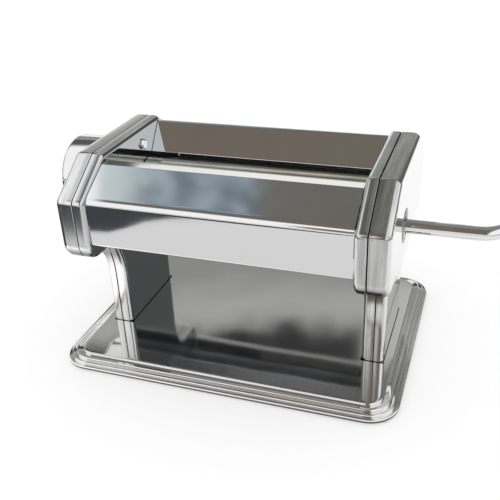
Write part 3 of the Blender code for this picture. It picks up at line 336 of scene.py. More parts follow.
# Parts of that room: each is the product of fades along an axis of the direction, from nothing to full
FRONT_HALF = (("Y", -0.06, -0.22),)
FRONT_RIGHT = (("X", -0.27, -0.22),)
FRONT_PATCHES = (
    ((("X", -0.100, -0.085), ("Z", 0.02, 0.06)), WARM_DARK),
    ((("X", -0.24, -0.34), ("Z", 0.80, 0.87)), GLOW_LOW),
)
REAR_PATCHES = (
    ((("X", -0.456, -0.470), ("Z", 0.56, 0.62)), SHADE_LEFT),
    ((("X", -0.165, -0.135), ("Z", 0.61, 0.63)), SHADE_RIGHT),
    ((("X", -0.145, -0.125), ("Z", 0.49, 0.52), ("Z", 0.615, 0.60)), CLEAR_RIGHT),
)
GLOW = (("X", -0.28, -0.33), ("Z", 0.76, 0.82), ("Y", -0.40, -0.20))
GLOW_RIM = (("X", -0.43, -0.49),)
SIDE_PATCHES = (
    ((("X", -0.498, -0.512), ("Y", 0.30, 0.14), ("Z", 0.93, 0.88)), WHITE),
    ((("X", 0.12, 0.34), ("Y", 0.10, 0.30)), DARK_SIDE),
    ((("X", 0.28, 0.42), ("Y", 0.60, 0.42), ("Z", 0.975, 0.94)), WHITE),
)
ENDS_START, ENDS_FULL = 0.87, 0.93

# Noises of that room: the sway of the rear's bands and the clouds of its glow
SWAY_NOISE = {"Scale": 20.0, "Detail": 3.0, "Roughness": 0.55}
SWAY = 0.04
SWAY_START = -0.020
CLOUD_NOISE = {"Scale": 30.0, "Detail": 4.0, "Roughness": 0.6}
CLOUD_LOW, CLOUD_HIGH = 0.42, 0.60
SOFT_LIGHT = 0.9

CAMERA_RIGHT = (0.944859, 0.324764, -0.042078)
CAMERA_UP = (-0.118155, 0.457915, 0.881109)
CAMERA_BACK = (0.305421, -0.827552, 0.471037)
CAMERA_PLACE = (0.067413, -0.374193, 0.267666)
CAMERA_SENSOR = 36.0
CAMERA_LENS = 51.232
CAMERA_CLIP = 0.01


# Node helpers

def add_node(tree, kind, **values):
    made = tree.nodes.new(kind)
    for key, value in values.items():
        setattr(made, key, value)
    return made


def set_inputs(node, **values):
    for key, value in values.items():
        node.inputs[key.replace("_", " ")].default_value = value


def new_material(name, colour, metallic, roughness):
    made = bpy.data.materials.new(name)
    made.use_nodes = True
    shader = made.node_tree.nodes["Principled BSDF"]
    shader.inputs["Metallic"].default_value = metallic
    shader.inputs["Roughness"].default_value = roughness
    shader.inputs["Base Color"].default_value = (*colour, 1.0)
    made.diffuse_color = (*colour, 1.0)
    return made, made.node_tree, shader


def blank_material(name):
    made = bpy.data.materials.new(name)
    made.use_nodes = True
    made.node_tree.nodes.clear()
    return made, made.node_tree


def axes_of(tree, output):
    """The X, Y and Z sockets of a texture coordinate."""
    place = add_node(tree, "ShaderNodeTexCoord")
    parts = add_node(tree, "ShaderNodeSeparateXYZ")
    tree.links.new(place.outputs[output], parts.inputs[0])
    return {axis: parts.outputs[axis] for axis in "XYZ"}


def noise(tree, scale, stretch, detail):
    """A noise in object space, stretched by a scale on each axis."""
    place = add_node(tree, "ShaderNodeTexCoord")
    mapping = add_node(tree, "ShaderNodeMapping")
    mapping.inputs["Scale"].default_value = stretch
    made = add_node(tree, "ShaderNodeTexNoise")
    set_inputs(made, Scale=scale, Detail=detail, Roughness=NOISE_ROUGHNESS)
    tree.links.new(place.outputs["Object"], mapping.inputs["Vector"])
    tree.links.new(mapping.outputs["Vector"], made.inputs["Vector"])
    return made.outputs["Fac"]


def room_noise(tree, values):
    """A noise over the directions of the room."""
    place = add_node(tree, "ShaderNodeTexCoord")
    made = add_node(tree, "ShaderNodeTexNoise")
    set_inputs(made, **values)
    tree.links.new(place.outputs["Generated"], made.inputs["Vector"])
    return made.outputs["Fac"]


def calculate(tree, operation, *values):
    """A math node whose inputs are sockets or plain numbers."""
    made = add_node(tree, "ShaderNodeMath", operation=operation)
    for slot, value in zip(made.inputs, values):
        if isinstance(value, float):
            slot.default_value = value
        else:
            tree.links.new(value, slot)
    return made.outputs[0]


def times(tree, *values):
    result = values[0]
    for value in values[1:]:
        result = calculate(tree, "MULTIPLY", result, value)
    return result


def spread(tree, value, low, high, start=TONE_START, end=TONE_END):
    """From low at start to high at end, in a straight line."""
    made = add_node(tree, "ShaderNodeMapRange")
    set_inputs(made, From_Min=start, From_Max=end, To_Min=low, To_Max=high)
    tree.links.new(value, made.inputs["Value"])
    return made.outputs["Result"]


def fade(tree, value, start, end):
    """0 at start, 1 at end, smooth between."""
    made = add_node(tree, "ShaderNodeMapRange", interpolation_type="SMOOTHSTEP")
    low, high = min(start, end), max(start, end)
    to_low, to_high = (0.0, 1.0) if start < end else (1.0, 0.0)
    set_inputs(made, From_Min=low, From_Max=high, To_Min=to_low, To_Max=to_high)
    tree.links.new(value, made.inputs["Value"])
    return made.outputs["Result"]


def region(tree, axes, limits):
    """The product of fades, each given as axis, start and end."""
    return times(tree, *[fade(tree, axes[axis], start, end) for axis, start, end in limits])


def ramp(tree, value, stops):
    made = add_node(tree, "ShaderNodeValToRGB")
    points = made.color_ramp.elements
    while len(points) < len(stops):
        points.new(0.5)
    for point, (position, colour) in zip(points, stops):
        point.position = position
        point.color = (*colour, 1.0)
    tree.links.new(value, made.inputs["Fac"])
    return made.outputs["Color"]


def two_tone(tree, value, tones):
    return ramp(tree, value, ((TONE_START, tones[0]), (TONE_END, tones[1])))


def blend_colour(tree, factor, below, above):
    """Mix from below to above, where either may be a socket or a plain colour."""
    made = add_node(tree, "ShaderNodeMix", data_type="RGBA")
    tree.links.new(factor, made.inputs["Factor"])
    for slot, value in (("A", below), ("B", above)):
        if isinstance(value, tuple):
            made.inputs[slot].default_value = (*value, 1.0)
        else:
            tree.links.new(value, made.inputs[slot])
    return made.outputs["Result"]


def bump(tree, shader, heights):
    """Chain (height socket, strength, distance) bumps into the shader's normal."""
    normal = None
    for height, strength, distance in heights:
        made = add_node(tree, "ShaderNodeBump")
        set_inputs(made, Strength=strength, Distance=distance)
        tree.links.new(height, made.inputs["Height"])
        if normal is not None:
            tree.links.new(normal, made.inputs["Normal"])
        normal = made.outputs["Normal"]
    tree.links.new(normal, shader.inputs["Normal"])


def join(tree, shader, **sockets):
    """Link sockets to the shader's inputs of these names."""
    for key, socket in sockets.items():
        tree.links.new(socket, shader.inputs[key.replace("_", " ")])


# Finishes

def polish(tree, shader, wave, scale=WAVE_SCALE, detail=1.0):
    """Faint waviness of a sheet under fine polishing lines along X."""
    waves = noise(tree, scale, EVEN, detail)
    lines = noise(tree, POLISH_SCALE, POLISH_STRETCH, 2.0)
    bump(tree, shader, [(waves, 1.0, wave), (lines, 0.25, POLISH_HEIGHT)])


def polished_steel(name, tones, rough):
    """Mirror-finished sheet with slight haze."""
    made, tree, shader = new_material(name, tones[1], 1.0, rough)
    haze = noise(tree, HAZE_SCALE, EVEN, 4.0)
    join(tree, shader, Base_Color=two_tone(tree, haze, tones),
         Roughness=spread(tree, haze, rough * 0.7, rough * 1.5))
    polish(tree, shader, SHEET_WAVE)
    return made


def guard_steel(name, tones):
    """The polished sheet of the guards, with painted shade inside and under the flange that faces the base.
    """
    made, tree, shader = new_material(name, GUARD_PLAIN, 1.0, 0.06)
    normal = axes_of(tree, "Normal")
    place = axes_of(tree, "Object")
    inward = times(tree, place["Y"], normal["Y"])
    under = fade(tree, normal["Z"], *GUARD_UNDER)
    # Painted shade on the inner faces and the undersides
    painted_shade = calculate(tree, "MAXIMUM", under, fade(tree, inward, *GUARD_INSIDE))
    haze = noise(tree, HAZE_SCALE, EVEN, 4.0)
    face = blend_colour(tree, haze, *tones)
    join(tree, shader, Base_Color=blend_colour(tree, painted_shade, face, GUARD_PAINTED_SHADE),
         Roughness=spread(tree, haze, 0.04, 0.09))
    polish(tree, shader, SHEET_WAVE)
    return made


def drawn_steel(name, wall_tones, web_tones):
    """Sheet drawn in a press: polished webs, walls with drawing lines, painted shade on undersides."""
    made, tree, shader = new_material(name, DRAWN_PLAIN, 1.0, 0.08)
    normal = axes_of(tree, "Normal")
    web = fade(tree, calculate(tree, "ABSOLUTE", normal["X"]), *DRAWN_WEB)
    # Painted shade on the faces that look down
    under = fade(tree, normal["Z"], *DRAWN_UNDER)
    haze = noise(tree, HAZE_SCALE, EVEN, 4.0)
    lines = noise(tree, DRAWN_SCALE, DRAWN_STRETCH, 4.0)
    wall = blend_colour(tree, fade(tree, lines, *DRAWN_CONTRAST), *wall_tones)
    wall = blend_colour(tree, under, wall, DRAWN_PAINTED_SHADE)
    face = blend_colour(tree, haze, *web_tones)
    join(tree, shader, Base_Color=blend_colour(tree, web, wall, face),
         Roughness=spread(tree, web, 0.17, 0.07, 0.0, 1.0))
    waves = noise(tree, WAVE_SCALE, EVEN, 1.0)
    bump(tree, shader, [(waves, 1.0, DRAWN_WAVE), (lines, 0.3, DRAWN_HEIGHT)])
    return made


def bottom_shaded_steel(name, tones):
    """The base's polished sheet with haze, with painted shade along its lower edge."""
    made, tree, shader = new_material(name, BASE_PLAIN, 1.0, 0.10)
    # Painted shade along the lower edge, by height
    edge = fade(tree, axes_of(tree, "Object")["Z"], *BOTTOM_SHADE_Z)
    haze = noise(tree, BASE_HAZE_SCALE, EVEN, 4.0)
    patch = noise(tree, BASE_PATCH_SCALE, EVEN, 5.0)
    face = blend_colour(tree, haze, *tones)
    join(tree, shader, Base_Color=blend_colour(tree, edge, face, BOTTOM_PAINTED_SHADE),
         Metallic=spread(tree, patch, 0.955, 1.0), Roughness=spread(tree, haze, 0.05, 0.09))
    polish(tree, shader, BASE_WAVE, BASE_WAVE_SCALE, 1.5)
    return made


def ground_steel(name, tones, rough):
    """Turned or ground steel with fine rings round the X axis."""
    made, tree, shader = new_material(name, tones[1], 1.0, rough)
    rings = noise(tree, RING_SCALE, RING_STRETCH, 3.0)
    blotch = noise(tree, BLOTCH_SCALE, EVEN, 4.0)
    join(tree, shader, Base_Color=two_tone(tree, blotch, tones),
         Roughness=spread(tree, rings, rough * 0.8, rough * 1.3))
    bump(tree, shader, [(rings, 0.35, RING_HEIGHT)])
    return made


def plated_steel(name, tones, rough):
    made, tree, shader = new_material(name, tones[1], 1.0, rough)
    blotch = noise(tree, PLATED_SCALE, EVEN, 5.0)
    join(tree, shader, Base_Color=two_tone(tree, blotch, tones),
         Roughness=spread(tree, blotch, rough * 0.8, rough * 1.4))
    bump(tree, shader, [(blotch, 0.2, PLATED_HEIGHT)])
    return made


def moulded_plastic(name, tones, rough, grain, depth):
    made, tree, shader = new_material(name, tones[1], 0.0, rough)
    pebble = noise(tree, grain, EVEN, 2.0)
    cloud = noise(tree, CLOUD_SCALE, EVEN, 3.0)
    join(tree, shader, Base_Color=two_tone(tree, cloud, tones),
         Roughness=spread(tree, pebble, rough * 0.85, rough * 1.2))
    bump(tree, shader, [(pebble, 0.4, depth)])
    return made


# Side sheets: walls painted lighter on the left and darker on the right, as painted light and shade
LEFT_PLATE = drawn_steel("left_plate_sheet", LIT_LEFT_WALL, SHADED_PLATE_WEB)
LEFT_COVER = drawn_steel("left_cover_sheet", LIT_LEFT_WALL, SHEET_TONES)
RIGHT_PLATE = drawn_steel("right_plate_sheet", SHADED_RIGHT_WALL, SHADED_PLATE_WEB)
RIGHT_COVER = drawn_steel("right_cover_sheet", SHADED_RIGHT_WALL, SHEET_TONES)
GUARD = guard_steel("guard_sheet", SHEET_TONES)
BASE = bottom_shaded_steel("base_sheet", BASE_TONES)
GEAR = ground_steel("gear_steel", GEAR_TONES, 0.32)
RING = plated_steel("ring_steel", RING_TONES, 0.22)
# Near-black painted shade on the tie rods
TIE = plated_steel("tie_rod_steel", SHADED_TIE_TONES, 0.36)

FINISH_BY_SLOT = {
    "polished_sheet": polished_steel("polished_sheet", SHEET_TONES, 0.06),
    "roller_steel": ground_steel("roller_steel", ROLLER_REFLECTION_TONES, 0.20),
    "gear_steel": GEAR,
    "zinc_steel": plated_steel("zinc_steel", ZINC_TONES, 0.30),
    "bearing_nylon": moulded_plastic("bearing_nylon", NYLON_TONES, 0.45, 900.0, 0.00004),
    "grip_plastic": moulded_plastic("grip_plastic", GRIP_TONES, 0.38, 1400.0, 0.00006),
    "foot_rubber": moulded_plastic("foot_rubber", RUBBER_TONES, 0.70, 700.0, 0.00010),
}
FINISH_BY_NODE = {"front_tie_rod": TIE, "rear_tie_rod": TIE}


def finish_nodes():
    for name, node in NODES.items():
        look = FINISH_BY_NODE.get(name, FINISH_BY_SLOT[SLOTS[name]])
        node.data.materials.clear()
        node.data.materials.append(look)


# Smooth shading of the solids without a change to their vertices

def smoothing_group():
    group = bpy.data.node_groups.new("weld_and_smooth", "GeometryNodeTree")
    group.interface.new_socket("Geometry", in_out="INPUT", socket_type="NodeSocketGeometry")
    group.interface.new_socket("Geometry", in_out="OUTPUT", socket_type="NodeSocketGeometry")
    start = add_node(group, "NodeGroupInput")
    end = add_node(group, "NodeGroupOutput")
    weld = add_node(group, "GeometryNodeMergeByDistance")
    weld.inputs["Distance"].default_value = WELD_DISTANCE
    faces = add_node(group, "GeometryNodeSetShadeSmooth", domain="FACE")
    faces.inputs["Shade Smooth"].default_value = True
    angle = add_node(group, "GeometryNodeInputMeshEdgeAngle")
    sharp = add_node(group, "FunctionNodeCompare", data_type="FLOAT", operation="GREATER_THAN")
    sharp.inputs["B"].default_value = SHARP_ANGLE
    edges = add_node(group, "GeometryNodeSetShadeSmooth", domain="EDGE")
    edges.inputs["Shade Smooth"].default_value = False
    group.links.new(start.outputs[0], weld.inputs["Geometry"])
    group.links.new(weld.outputs["Geometry"], faces.inputs["Geometry"])
    group.links.new(faces.outputs["Geometry"], edges.inputs["Geometry"])
    group.links.new(angle.outputs["Unsigned Angle"], sharp.inputs["A"])
    group.links.new(sharp.outputs["Result"], edges.inputs["Selection"])
    group.links.new(edges.outputs["Geometry"], end.inputs[0])
    return group


def weigh_normals(piece):
    weigh = piece.modifiers.new("weigh", "WEIGHTED_NORMAL")
    weigh.keep_sharp = True
    return weigh


def smooth_nodes():
    group = smoothing_group()
    for node in NODES.values():
        step = node.modifiers.new("smooth", "NODES")
        step.node_group = group
        weigh_normals(node).weight = 100


# Outlines with rounded corners

def corner_arc(before, corner, after, radius, steps):
    to_before = (before - corner).normalized()
    to_after = (after - corner).normalized()
    opening = to_before.angle(to_after)
    centre = corner + (to_before + to_after).normalized() * (radius / math.sin(opening / 2))
    start = corner + to_before * (radius / math.tan(opening / 2)) - centre
    sweep = math.pi - opening
    if to_before.x * to_after.y - to_before.y * to_after.x > 0:
        sweep = -sweep
    return [centre + Matrix.Rotation(sweep * i / steps, 2) @ start for i in range(steps + 1)]


def moved_corner(before, corner, after, inset):
    """The corner moved inward, and the inset with the sign of its turn."""
    arriving = (corner - before).normalized()
    leaving = (after - corner).normalized()
    inward_in = Vector((-arriving.y, arriving.x))
    inward_out = Vector((-leaving.y, leaving.x))
    bisector = (inward_in + inward_out).normalized()
    turn = arriving.x * leaving.y - arriving.y * leaving.x
    return corner + bisector * (inset / bisector.dot(inward_in)), math.copysign(inset, turn)


def rounded_outline(corners, inset):
    """Points of an outline of (u, v, radius, steps) corners, moved inward by the inset."""
    moved = []
    count = len(corners)
    for i in range(count):
        before, corner, after = (Vector(corners[(i + step) % count][:2]) for step in (-1, 0, 1))
        place, shift = moved_corner(before, corner, after, inset)
        moved.append((place, max(corners[i][2] - shift, MERGE), corners[i][3]))
    points = []
    for i in range(count):
        before, corner, after = (moved[(i + step) % count][0] for step in (-1, 0, 1))
        points += corner_arc(before, corner, after, moved[i][1], moved[i][2])
    return points


def side_outline():
    return HALF_SIDE + tuple((-y, *rest) for y, *rest in reversed(HALF_SIDE))


def base_outline():
    x, y = BASE_HALF_LENGTH, BASE_HALF_DEPTH
    return [(px, py, BASE_CORNER, BASE_CORNER_STEPS) for px, py in ((x, -y), (x, y), (-x, y), (-x, -y))]


# Mesh helpers

def add_object(name, data):
    made = bpy.data.objects.new(name, data)
    bpy.context.scene.collection.objects.link(made)
    return made


def mesh_object(name, work):
    mesh = bpy.data.meshes.new(name)
    work.to_mesh(mesh)
    work.free()
    return add_object(name, mesh)


def join_rings(work, rings):
    """Faces between each ring of points and the next."""
    count = len(rings[0])
    for one, two in zip(rings, rings[1:]):
        for i in range(count):
            j = (i + 1) % count
            work.faces.new((one[i], one[j], two[j], two[i]))


def loft(corners, levels, place):
    """A sheet through an outline at each (height, inset) level, closed at the last."""
    work = bmesh.new()
    rings = []
    for height, inset in levels:
        rings.append([work.verts.new(place(p.x, p.y, height)) for p in rounded_outline(corners, inset)])
    join_rings(work, rings)
    work.faces.new(rings[-1])
    return work


def finished_mesh(name, work, thickness=0.0, cutters=()):
    """Give a sheet its thickness, cut the holes and return one plain mesh."""
    piece = mesh_object(name, work)
    if thickness:
        sheet = piece.modifiers.new("sheet", "SOLIDIFY")
        sheet.thickness = thickness
        sheet.offset = -1.0
        sheet.use_even_offset = True
    for cutter in cutters:
        cut = piece.modifiers.new("cut", "BOOLEAN")
        cut.operation = "DIFFERENCE"
        cut.solver = "EXACT"
        cut.object = cutter
    bpy.context.view_layer.update()
    ready = piece.evaluated_get(bpy.context.evaluated_depsgraph_get())
    made = bpy.data.meshes.new_from_object(ready)
    piece.modifiers.clear()
    piece.data = made
    for cutter in cutters:
        bpy.data.objects.remove(cutter, do_unlink=True)
    return piece


def hole_cutter(x, y, z, radius, segments=SEGMENTS):
    work = bmesh.new()
    place = Matrix.Translation((x, y, z)) @ Matrix.Rotation(math.pi / 2, 4, "Y")
    bmesh.ops.create_cone(work, cap_ends=True, segments=segments, radius1=radius, radius2=radius,
                          depth=CUT_REACH * 2, matrix=place)
    return mesh_object("hole", work)


def box_cutter(middle, half):
    work = bmesh.new()
    size = Matrix.Diagonal((*(2 * length for length in half), 1.0))
    bmesh.ops.create_cube(work, size=1.0, matrix=Matrix.Translation(middle) @ size)
    return mesh_object("slot", work)


def dress(piece, look, node, body="frame"):
    """Finish, smooth shading and the body of the node that the piece stands for."""
    piece.data.materials.clear()
    piece.data.materials.append(look)
    piece.data.shade_smooth()
    piece.data.set_sharp_from_angle(angle=SHARP_ANGLE)
    weigh_normals(piece)
    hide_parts(node)
    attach(piece, body)


# Sides

def pan_levels(pan):
    """Heights and insets of a pan: eased open edge, crowned wall, round bend to the web."""
    levels = [(PAN_LIP, pan.crown + PAN_LIP * 0.4)]
    start, end = PAN_LIP * 1.5, pan.depth - pan.bend
    for i in range(WALL_STEPS + 1):
        share = i / WALL_STEPS
        levels.append((start + (end - start) * share, pan.crown * (1 - math.sin(math.pi * share))))
    for i in range(1, pan.bend_steps + 1):
        angle = math.pi / 2 * i / pan.bend_steps
        levels.append((end + pan.bend * math.sin(angle), pan.crown + pan.bend * (1 - math.cos(angle))))
    return levels


def step_leg_in(work, pan):
    """Make the pan shallower at its leg, with a smooth flare between leg and body."""
    for level in (FLARE_LOW_Z, UNDERSIDE_Z):
        bmesh.ops.bisect_plane(work, geom=work.verts[:] + work.edges[:] + work.faces[:], dist=MERGE,
                               plane_co=(0, 0, level), plane_no=(0, 0, 1))
    share = pan.leg_depth / pan.depth
    for vert in work.verts:
        blend = min(max((vert.co.z - FLARE_LOW_Z) / (UNDERSIDE_Z - FLARE_LOW_Z), 0.0), 1.0)
        blend = blend * blend * (3 - 2 * blend)
        vert.co.x *= share + (1 - share) * blend


def side_piece(node, look, side, pan, cutters):
    work = loft(side_outline(), pan_levels(pan), lambda u, v, w: Vector((w, u, v)))
    if pan.leg_depth:
        step_leg_in(work, pan)
    for vert in work.verts:
        vert.co.x = MACHINE_X + side * (pan.edge_x + pan.facing * vert.co.x)
    if side * pan.facing < 0:
        bmesh.ops.reverse_faces(work, faces=work.faces[:])
    dress(finished_mesh(node + "_sheet", work, pan.sheet, cutters), look, node)


def web_x(side, pan):
    """Where the web of a pan lies along X."""
    return MACHINE_X + side * (pan.edge_x + pan.facing * pan.depth)


def plate_cutters(side, bush_hole):
    x = web_x(side, PLATE)
    cutters = [hole_cutter(x, FRONT_AXIS_Y, ROLLER_AXIS_Z, bush_hole),
               box_cutter((x, REAR_AXIS_Y, ROLLER_AXIS_Z), BLOCK_SLOT_HALF),
               hole_cutter(x, POST_Y, POST_Z, POST_HOLE, SMALL_SEGMENTS)]
    return cutters + [hole_cutter(x, y, TIE_Z, TIE_HOLE, SMALL_SEGMENTS) for y in (-TIE_Y, TIE_Y)]


def left_cover_cutters():
    """The hole of the knob's stem, in a circle of index holes."""
    x = web_x(-1, COVER)
    cutters = [hole_cutter(x, REAR_AXIS_Y, ROLLER_AXIS_Z, STEM_HOLE)]
    for i in range(INDEX_STEPS):
        angle = math.pi / 2 + (i - (INDEX_STEPS - 1) // 2) * INDEX_STEP_ANGLE
        y, z = REAR_AXIS_Y + math.cos(angle) * INDEX_CIRCLE, ROLLER_AXIS_Z + math.sin(angle) * INDEX_CIRCLE
        cutters.append(hole_cutter(x, y, z, INDEX_HOLE, INDEX_SEGMENTS))
    return cutters


def right_cover_cutters():
    return [hole_cutter(web_x(1, COVER), FRONT_AXIS_Y, ROLLER_AXIS_Z, CRANK_HOLE)]


def make_sides():
    side_piece("left_side_plate", LEFT_PLATE, -1, PLATE, plate_cutters(-1, LEFT_BUSH_HOLE))
    side_piece("left_outer_cover", LEFT_COVER, -1, COVER, left_cover_cutters())
    side_piece("right_side_plate", RIGHT_PLATE, 1, PLATE, plate_cutters(1, RIGHT_BUSH_HOLE))
    side_piece("right_outer_cover", RIGHT_COVER, 1, COVER, right_cover_cutters())


# Base, guards, ring and spring

def make_base():
    levels = [(BASE_EDGE_Z + up, inward) for inward, up in RIM_STEPS]
    work = loft(base_outline(), levels, lambda u, v, w: Vector((MACHINE_X + u, v, w)))
    cutters = [box_cutter((MACHINE_X + side * BASE_SLOT_X, 0.0, BASE_SLOT_HALF[2]), BASE_SLOT_HALF)
               for side in (-1, 1)]
    dress(finished_mesh("base_plate_sheet", work, BASE_SHEET, cutters), BASE, "base_plate")


def make_guard(node, bends, turn):
    """A guard of one bent sheet, as drawn for turn 1 and mirrored front to back for turn -1."""
    corners = [Vector(bend[:2]) for bend in bends]
    section = corners[:1]
    for before, corner, after, bend in zip(corners, corners[1:], corners[2:], bends[1:]):
        section += corner_arc(before, corner, after, bend[2], GUARD_BEND_STEPS)
    section += corners[-1:]
    work = bmesh.new()
    ends = [[work.verts.new((MACHINE_X + x, turn * p.x, p.y)) for p in section]
            for x in (-GUARD_HALF_LENGTH, GUARD_HALF_LENGTH)]
    for i in range(len(section) - 1):
        work.faces.new((ends[0][i], ends[1][i], ends[1][i + 1], ends[0][i + 1]))
    if turn < 0:
        bmesh.ops.reverse_faces(work, faces=work.faces[:])
    dress(finished_mesh(node + "_sheet", work, GUARD_SHEET), GUARD, node)


def make_ring():
    """The crank hole's ring, a thin polished lip turned round the front axis, on the cover."""
    profile = list(RING_BACK)
    for i in range(1, RING_STEPS + 1):
        angle = math.pi / 2 * i / RING_STEPS
        profile.append((RING_PROUD * math.sin(angle), RING_RADIUS - RING_ROUNDING * (1 - math.cos(angle))))
    profile += RING_FRONT
    work = bmesh.new()
    rings = []
    for along, radius in profile:
        turns = [math.tau * i / RING_SEGMENTS for i in range(RING_SEGMENTS)]
        rings.append([work.verts.new((web_x(1, COVER) + along, FRONT_AXIS_Y + radius * math.cos(angle),
                                      ROLLER_AXIS_Z + radius * math.sin(angle))) for angle in turns])
    join_rings(work, rings + rings[:1])
    bmesh.ops.recalc_face_normals(work, faces=work.faces[:])
    dress(finished_mesh("crank_hole_ring_lip", work), RING, "crank_hole_ring")


def make_spring():
    """The knob's spring: a coil of one length between the ends of its node, carried with the eccentric. The
    real spring shortens towards its washer as the knob is pulled out.
    """
    node = NODES["knob_spring"]
    corners = [node.matrix_world @ Vector(corner) for corner in node.bound_box]
    outer, inner = min(p.x for p in corners), max(p.x for p in corners)
    start, end = inner - SPRING_WIRE, outer + SPRING_WIRE
    along = Vector((1, 0, 0))
    count = SPRING_TURNS * SPRING_POINTS
    turns = [math.tau * k / SPRING_SIDES for k in range(SPRING_SIDES)]
    work = bmesh.new()
    rings = []
    for i in range(count + 1):
        angle = math.tau * i / SPRING_POINTS
        away = Vector((0, math.cos(angle), math.sin(angle)))
        axis = Vector((start + (end - start) * i / count, REAR_AXIS_Y, ROLLER_AXIS_Z))
        middle = axis + away * SPRING_RADIUS
        rings.append([work.verts.new(middle + (away * math.cos(t) + along * math.sin(t)) * SPRING_WIRE)
                      for t in turns])
    join_rings(work, rings)
    work.faces.new(rings[0])
    work.faces.new(rings[-1])
    bmesh.ops.recalc_face_normals(work, faces=work.faces[:])
    piece = finished_mesh("knob_spring_coil", work)
    dress(piece, GEAR, "knob_spring", "eccentric")
    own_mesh(piece)


# Studio

def flat_object(name, corners, z, material):
    mesh = bpy.data.meshes.new(name)
    mesh.from_pydata([(x, y, z) for x, y in corners], [], [tuple(range(len(corners)))])
    mesh.materials.append(material)
    return add_object(name, mesh)


def make_cards():
    for name, corners in CARDS.items():
        made, tree = blank_material(name)
        light = add_node(tree, "ShaderNodeEmission")
        light.inputs["Color"].default_value = (*CARD_COLOUR, 1.0)
        out = add_node(tree, "ShaderNodeOutputMaterial")
        tree.links.new(light.outputs[0], out.inputs[0])
        card = flat_object(name, corners, CARD_Z, made)
        card.visible_camera = False
        card.visible_diffuse = False
        card.visible_shadow = False


def painted_floor_light(tree, axes):
    """Painted light that only mirrored rays see added to the floor: more behind, and a strip before the
    base.
    """
    depth = spread(tree, axes["Y"], FLOOR_FRONT_LIFT, FLOOR_REAR_LIFT, *FLOOR_LIFT_Y)
    across = spread(tree, axes["X"], STRIP_LEFT_LIFT, STRIP_RIGHT_LIFT, *STRIP_X)
    return calculate(tree, "ADD", depth, times(tree, across, region(tree, axes, STRIP)))


def open_floor(tree, axes):
    """0 under the base, 1 around it."""
    clear = []
    for axis, middle, half in (("X", MACHINE_X, BASE_HALF_LENGTH), ("Y", 0.0, BASE_HALF_DEPTH)):
        away = calculate(tree, "ABSOLUTE", calculate(tree, "SUBTRACT", axes[axis], middle))
        clear.append(fade(tree, away, half - UNDER_BASE[0], half - UNDER_BASE[1]))
    return calculate(tree, "MAXIMUM", *clear)


def make_floor():
    """A plain pale floor: white to the eye, with the object's soft shadow kept; mirrored rays see painted
    light and shade on it.
    """
    made, tree = blank_material("floor")
    axes = axes_of(tree, "Object")
    path = add_node(tree, "ShaderNodeLightPath")
    near = region(tree, axes, NEAR_FLOOR)
    shine = times(tree, path.outputs["Is Glossy Ray"], painted_floor_light(tree, axes), near)
    level = calculate(tree, "MULTIPLY_ADD", path.outputs["Is Camera Ray"], FLOOR_SEEN_LIFT, shine)
    # Painted shade: far off to the sides, mirrored rays see the floor darker
    far = times(tree, path.outputs["Is Glossy Ray"], calculate(tree, "SUBTRACT", 1.0, near))
    plain = add_node(tree, "ShaderNodeBsdfDiffuse")
    tree.links.new(blend_colour(tree, far, FLOOR_SHADE, FLOOR_FAR_PAINTED_SHADE), plain.inputs["Color"])
    white = add_node(tree, "ShaderNodeEmission")
    white.inputs["Color"].default_value = (*WHITE, 1.0)
    tree.links.new(times(tree, level, open_floor(tree, axes)), white.inputs["Strength"])
    both = add_node(tree, "ShaderNodeAddShader")
    tree.links.new(plain.outputs[0], both.inputs[0])
    tree.links.new(white.outputs[0], both.inputs[1])
    out = add_node(tree, "ShaderNodeOutputMaterial")
    tree.links.new(both.outputs[0], out.inputs[0])
    size = FLOOR_HALF
    floor = flat_object("floor", ((-size, -size), (size, -size), (size, size), (-size, size)), 0.0, made)
    floor.location = (0, 0, FLOOR_Z)


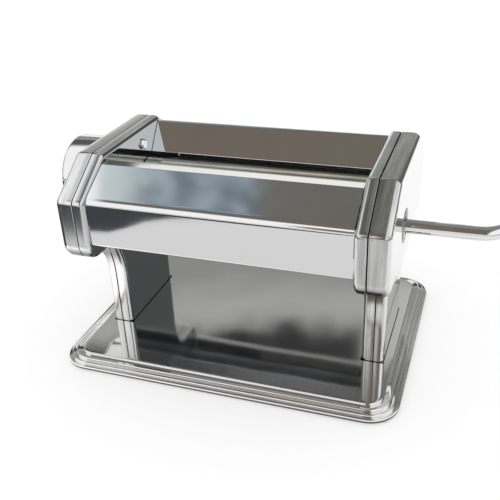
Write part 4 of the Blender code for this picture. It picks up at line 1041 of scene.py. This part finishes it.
def room_colour(tree):
    """What the metal mirrors: a white tent, open and darker overhead and behind."""
    axes = axes_of(tree, "Generated")
    sway = calculate(tree, "MULTIPLY_ADD", room_noise(tree, SWAY_NOISE), SWAY, SWAY_START)
    behind = ramp(tree, calculate(tree, "ADD", axes["Z"], sway), REAR_STOPS)
    for limits, colour in REAR_PATCHES:
        behind = blend_colour(tree, region(tree, axes, limits), behind, colour)
    before = blend_colour(tree, region(tree, axes, FRONT_RIGHT), ramp(tree, axes["Z"], FRONT_STOPS),
                          ramp(tree, axes["Z"], FRONT_RIGHT_STOPS))
    for limits, colour in FRONT_PATCHES:
        before = blend_colour(tree, region(tree, axes, limits), before, colour)
    room = blend_colour(tree, region(tree, axes, FRONT_HALF), behind, before)
    clouds = fade(tree, room_noise(tree, CLOUD_NOISE), CLOUD_LOW, CLOUD_HIGH)
    glow = blend_colour(tree, clouds, GLOW_LOW, GLOW_HIGH)
    glow = blend_colour(tree, region(tree, axes, GLOW_RIM), glow, GLOW_EDGE)
    room = blend_colour(tree, region(tree, axes, GLOW), room, glow)
    for limits, colour in SIDE_PATCHES:
        room = blend_colour(tree, region(tree, axes, limits), room, colour)
    ends = fade(tree, calculate(tree, "ABSOLUTE", axes["X"]), ENDS_START, ENDS_FULL)
    return blend_colour(tree, ends, room, ramp(tree, axes["Z"], SIDE_STOPS))


def switch(tree, factor, off, on):
    """One shader where the factor is 0, and the other where it is 1."""
    made = add_node(tree, "ShaderNodeMixShader")
    for slot, socket in zip(made.inputs, (factor, off, on)):
        tree.links.new(socket, slot)
    return made.outputs[0]


def make_world():
    """White to the eye, plain for soft light, and the room for mirrored rays."""
    world = bpy.data.worlds.new("studio")
    bpy.context.scene.world = world
    world.use_nodes = True
    tree = world.node_tree
    tree.nodes.clear()
    mirror, plain, white = (add_node(tree, "ShaderNodeBackground") for _ in range(3))
    tree.links.new(room_colour(tree), mirror.inputs["Color"])
    plain.inputs["Color"].default_value = (*WHITE, 1.0)
    plain.inputs["Strength"].default_value = SOFT_LIGHT
    white.inputs["Color"].default_value = (*WHITE, 1.0)
    path = add_node(tree, "ShaderNodeLightPath")
    unseen = switch(tree, path.outputs["Is Glossy Ray"], plain.outputs[0], mirror.outputs[0])
    out = add_node(tree, "ShaderNodeOutputWorld")
    tree.links.new(switch(tree, path.outputs["Is Camera Ray"], unseen, white.outputs[0]), out.inputs[0])


def make_camera():
    data = bpy.data.cameras.new("camera")
    camera = add_object("camera", data)
    place = Matrix((CAMERA_RIGHT, CAMERA_UP, CAMERA_BACK)).transposed().to_4x4()
    place.translation = CAMERA_PLACE
    camera.matrix_world = place
    data.sensor_width = CAMERA_SENSOR
    data.lens = CAMERA_LENS
    data.clip_start = CAMERA_CLIP
    bpy.context.scene.camera = camera


finish_nodes()
smooth_nodes()
make_sides()
make_base()
make_guard("front_guard", FRONT_GUARD, 1)
make_guard("rear_guard", REAR_GUARD, -1)
make_ring()
make_spring()
make_floor()
make_cards()
make_world()
make_camera()
bpy.context.scene.view_settings.view_transform = "Standard"
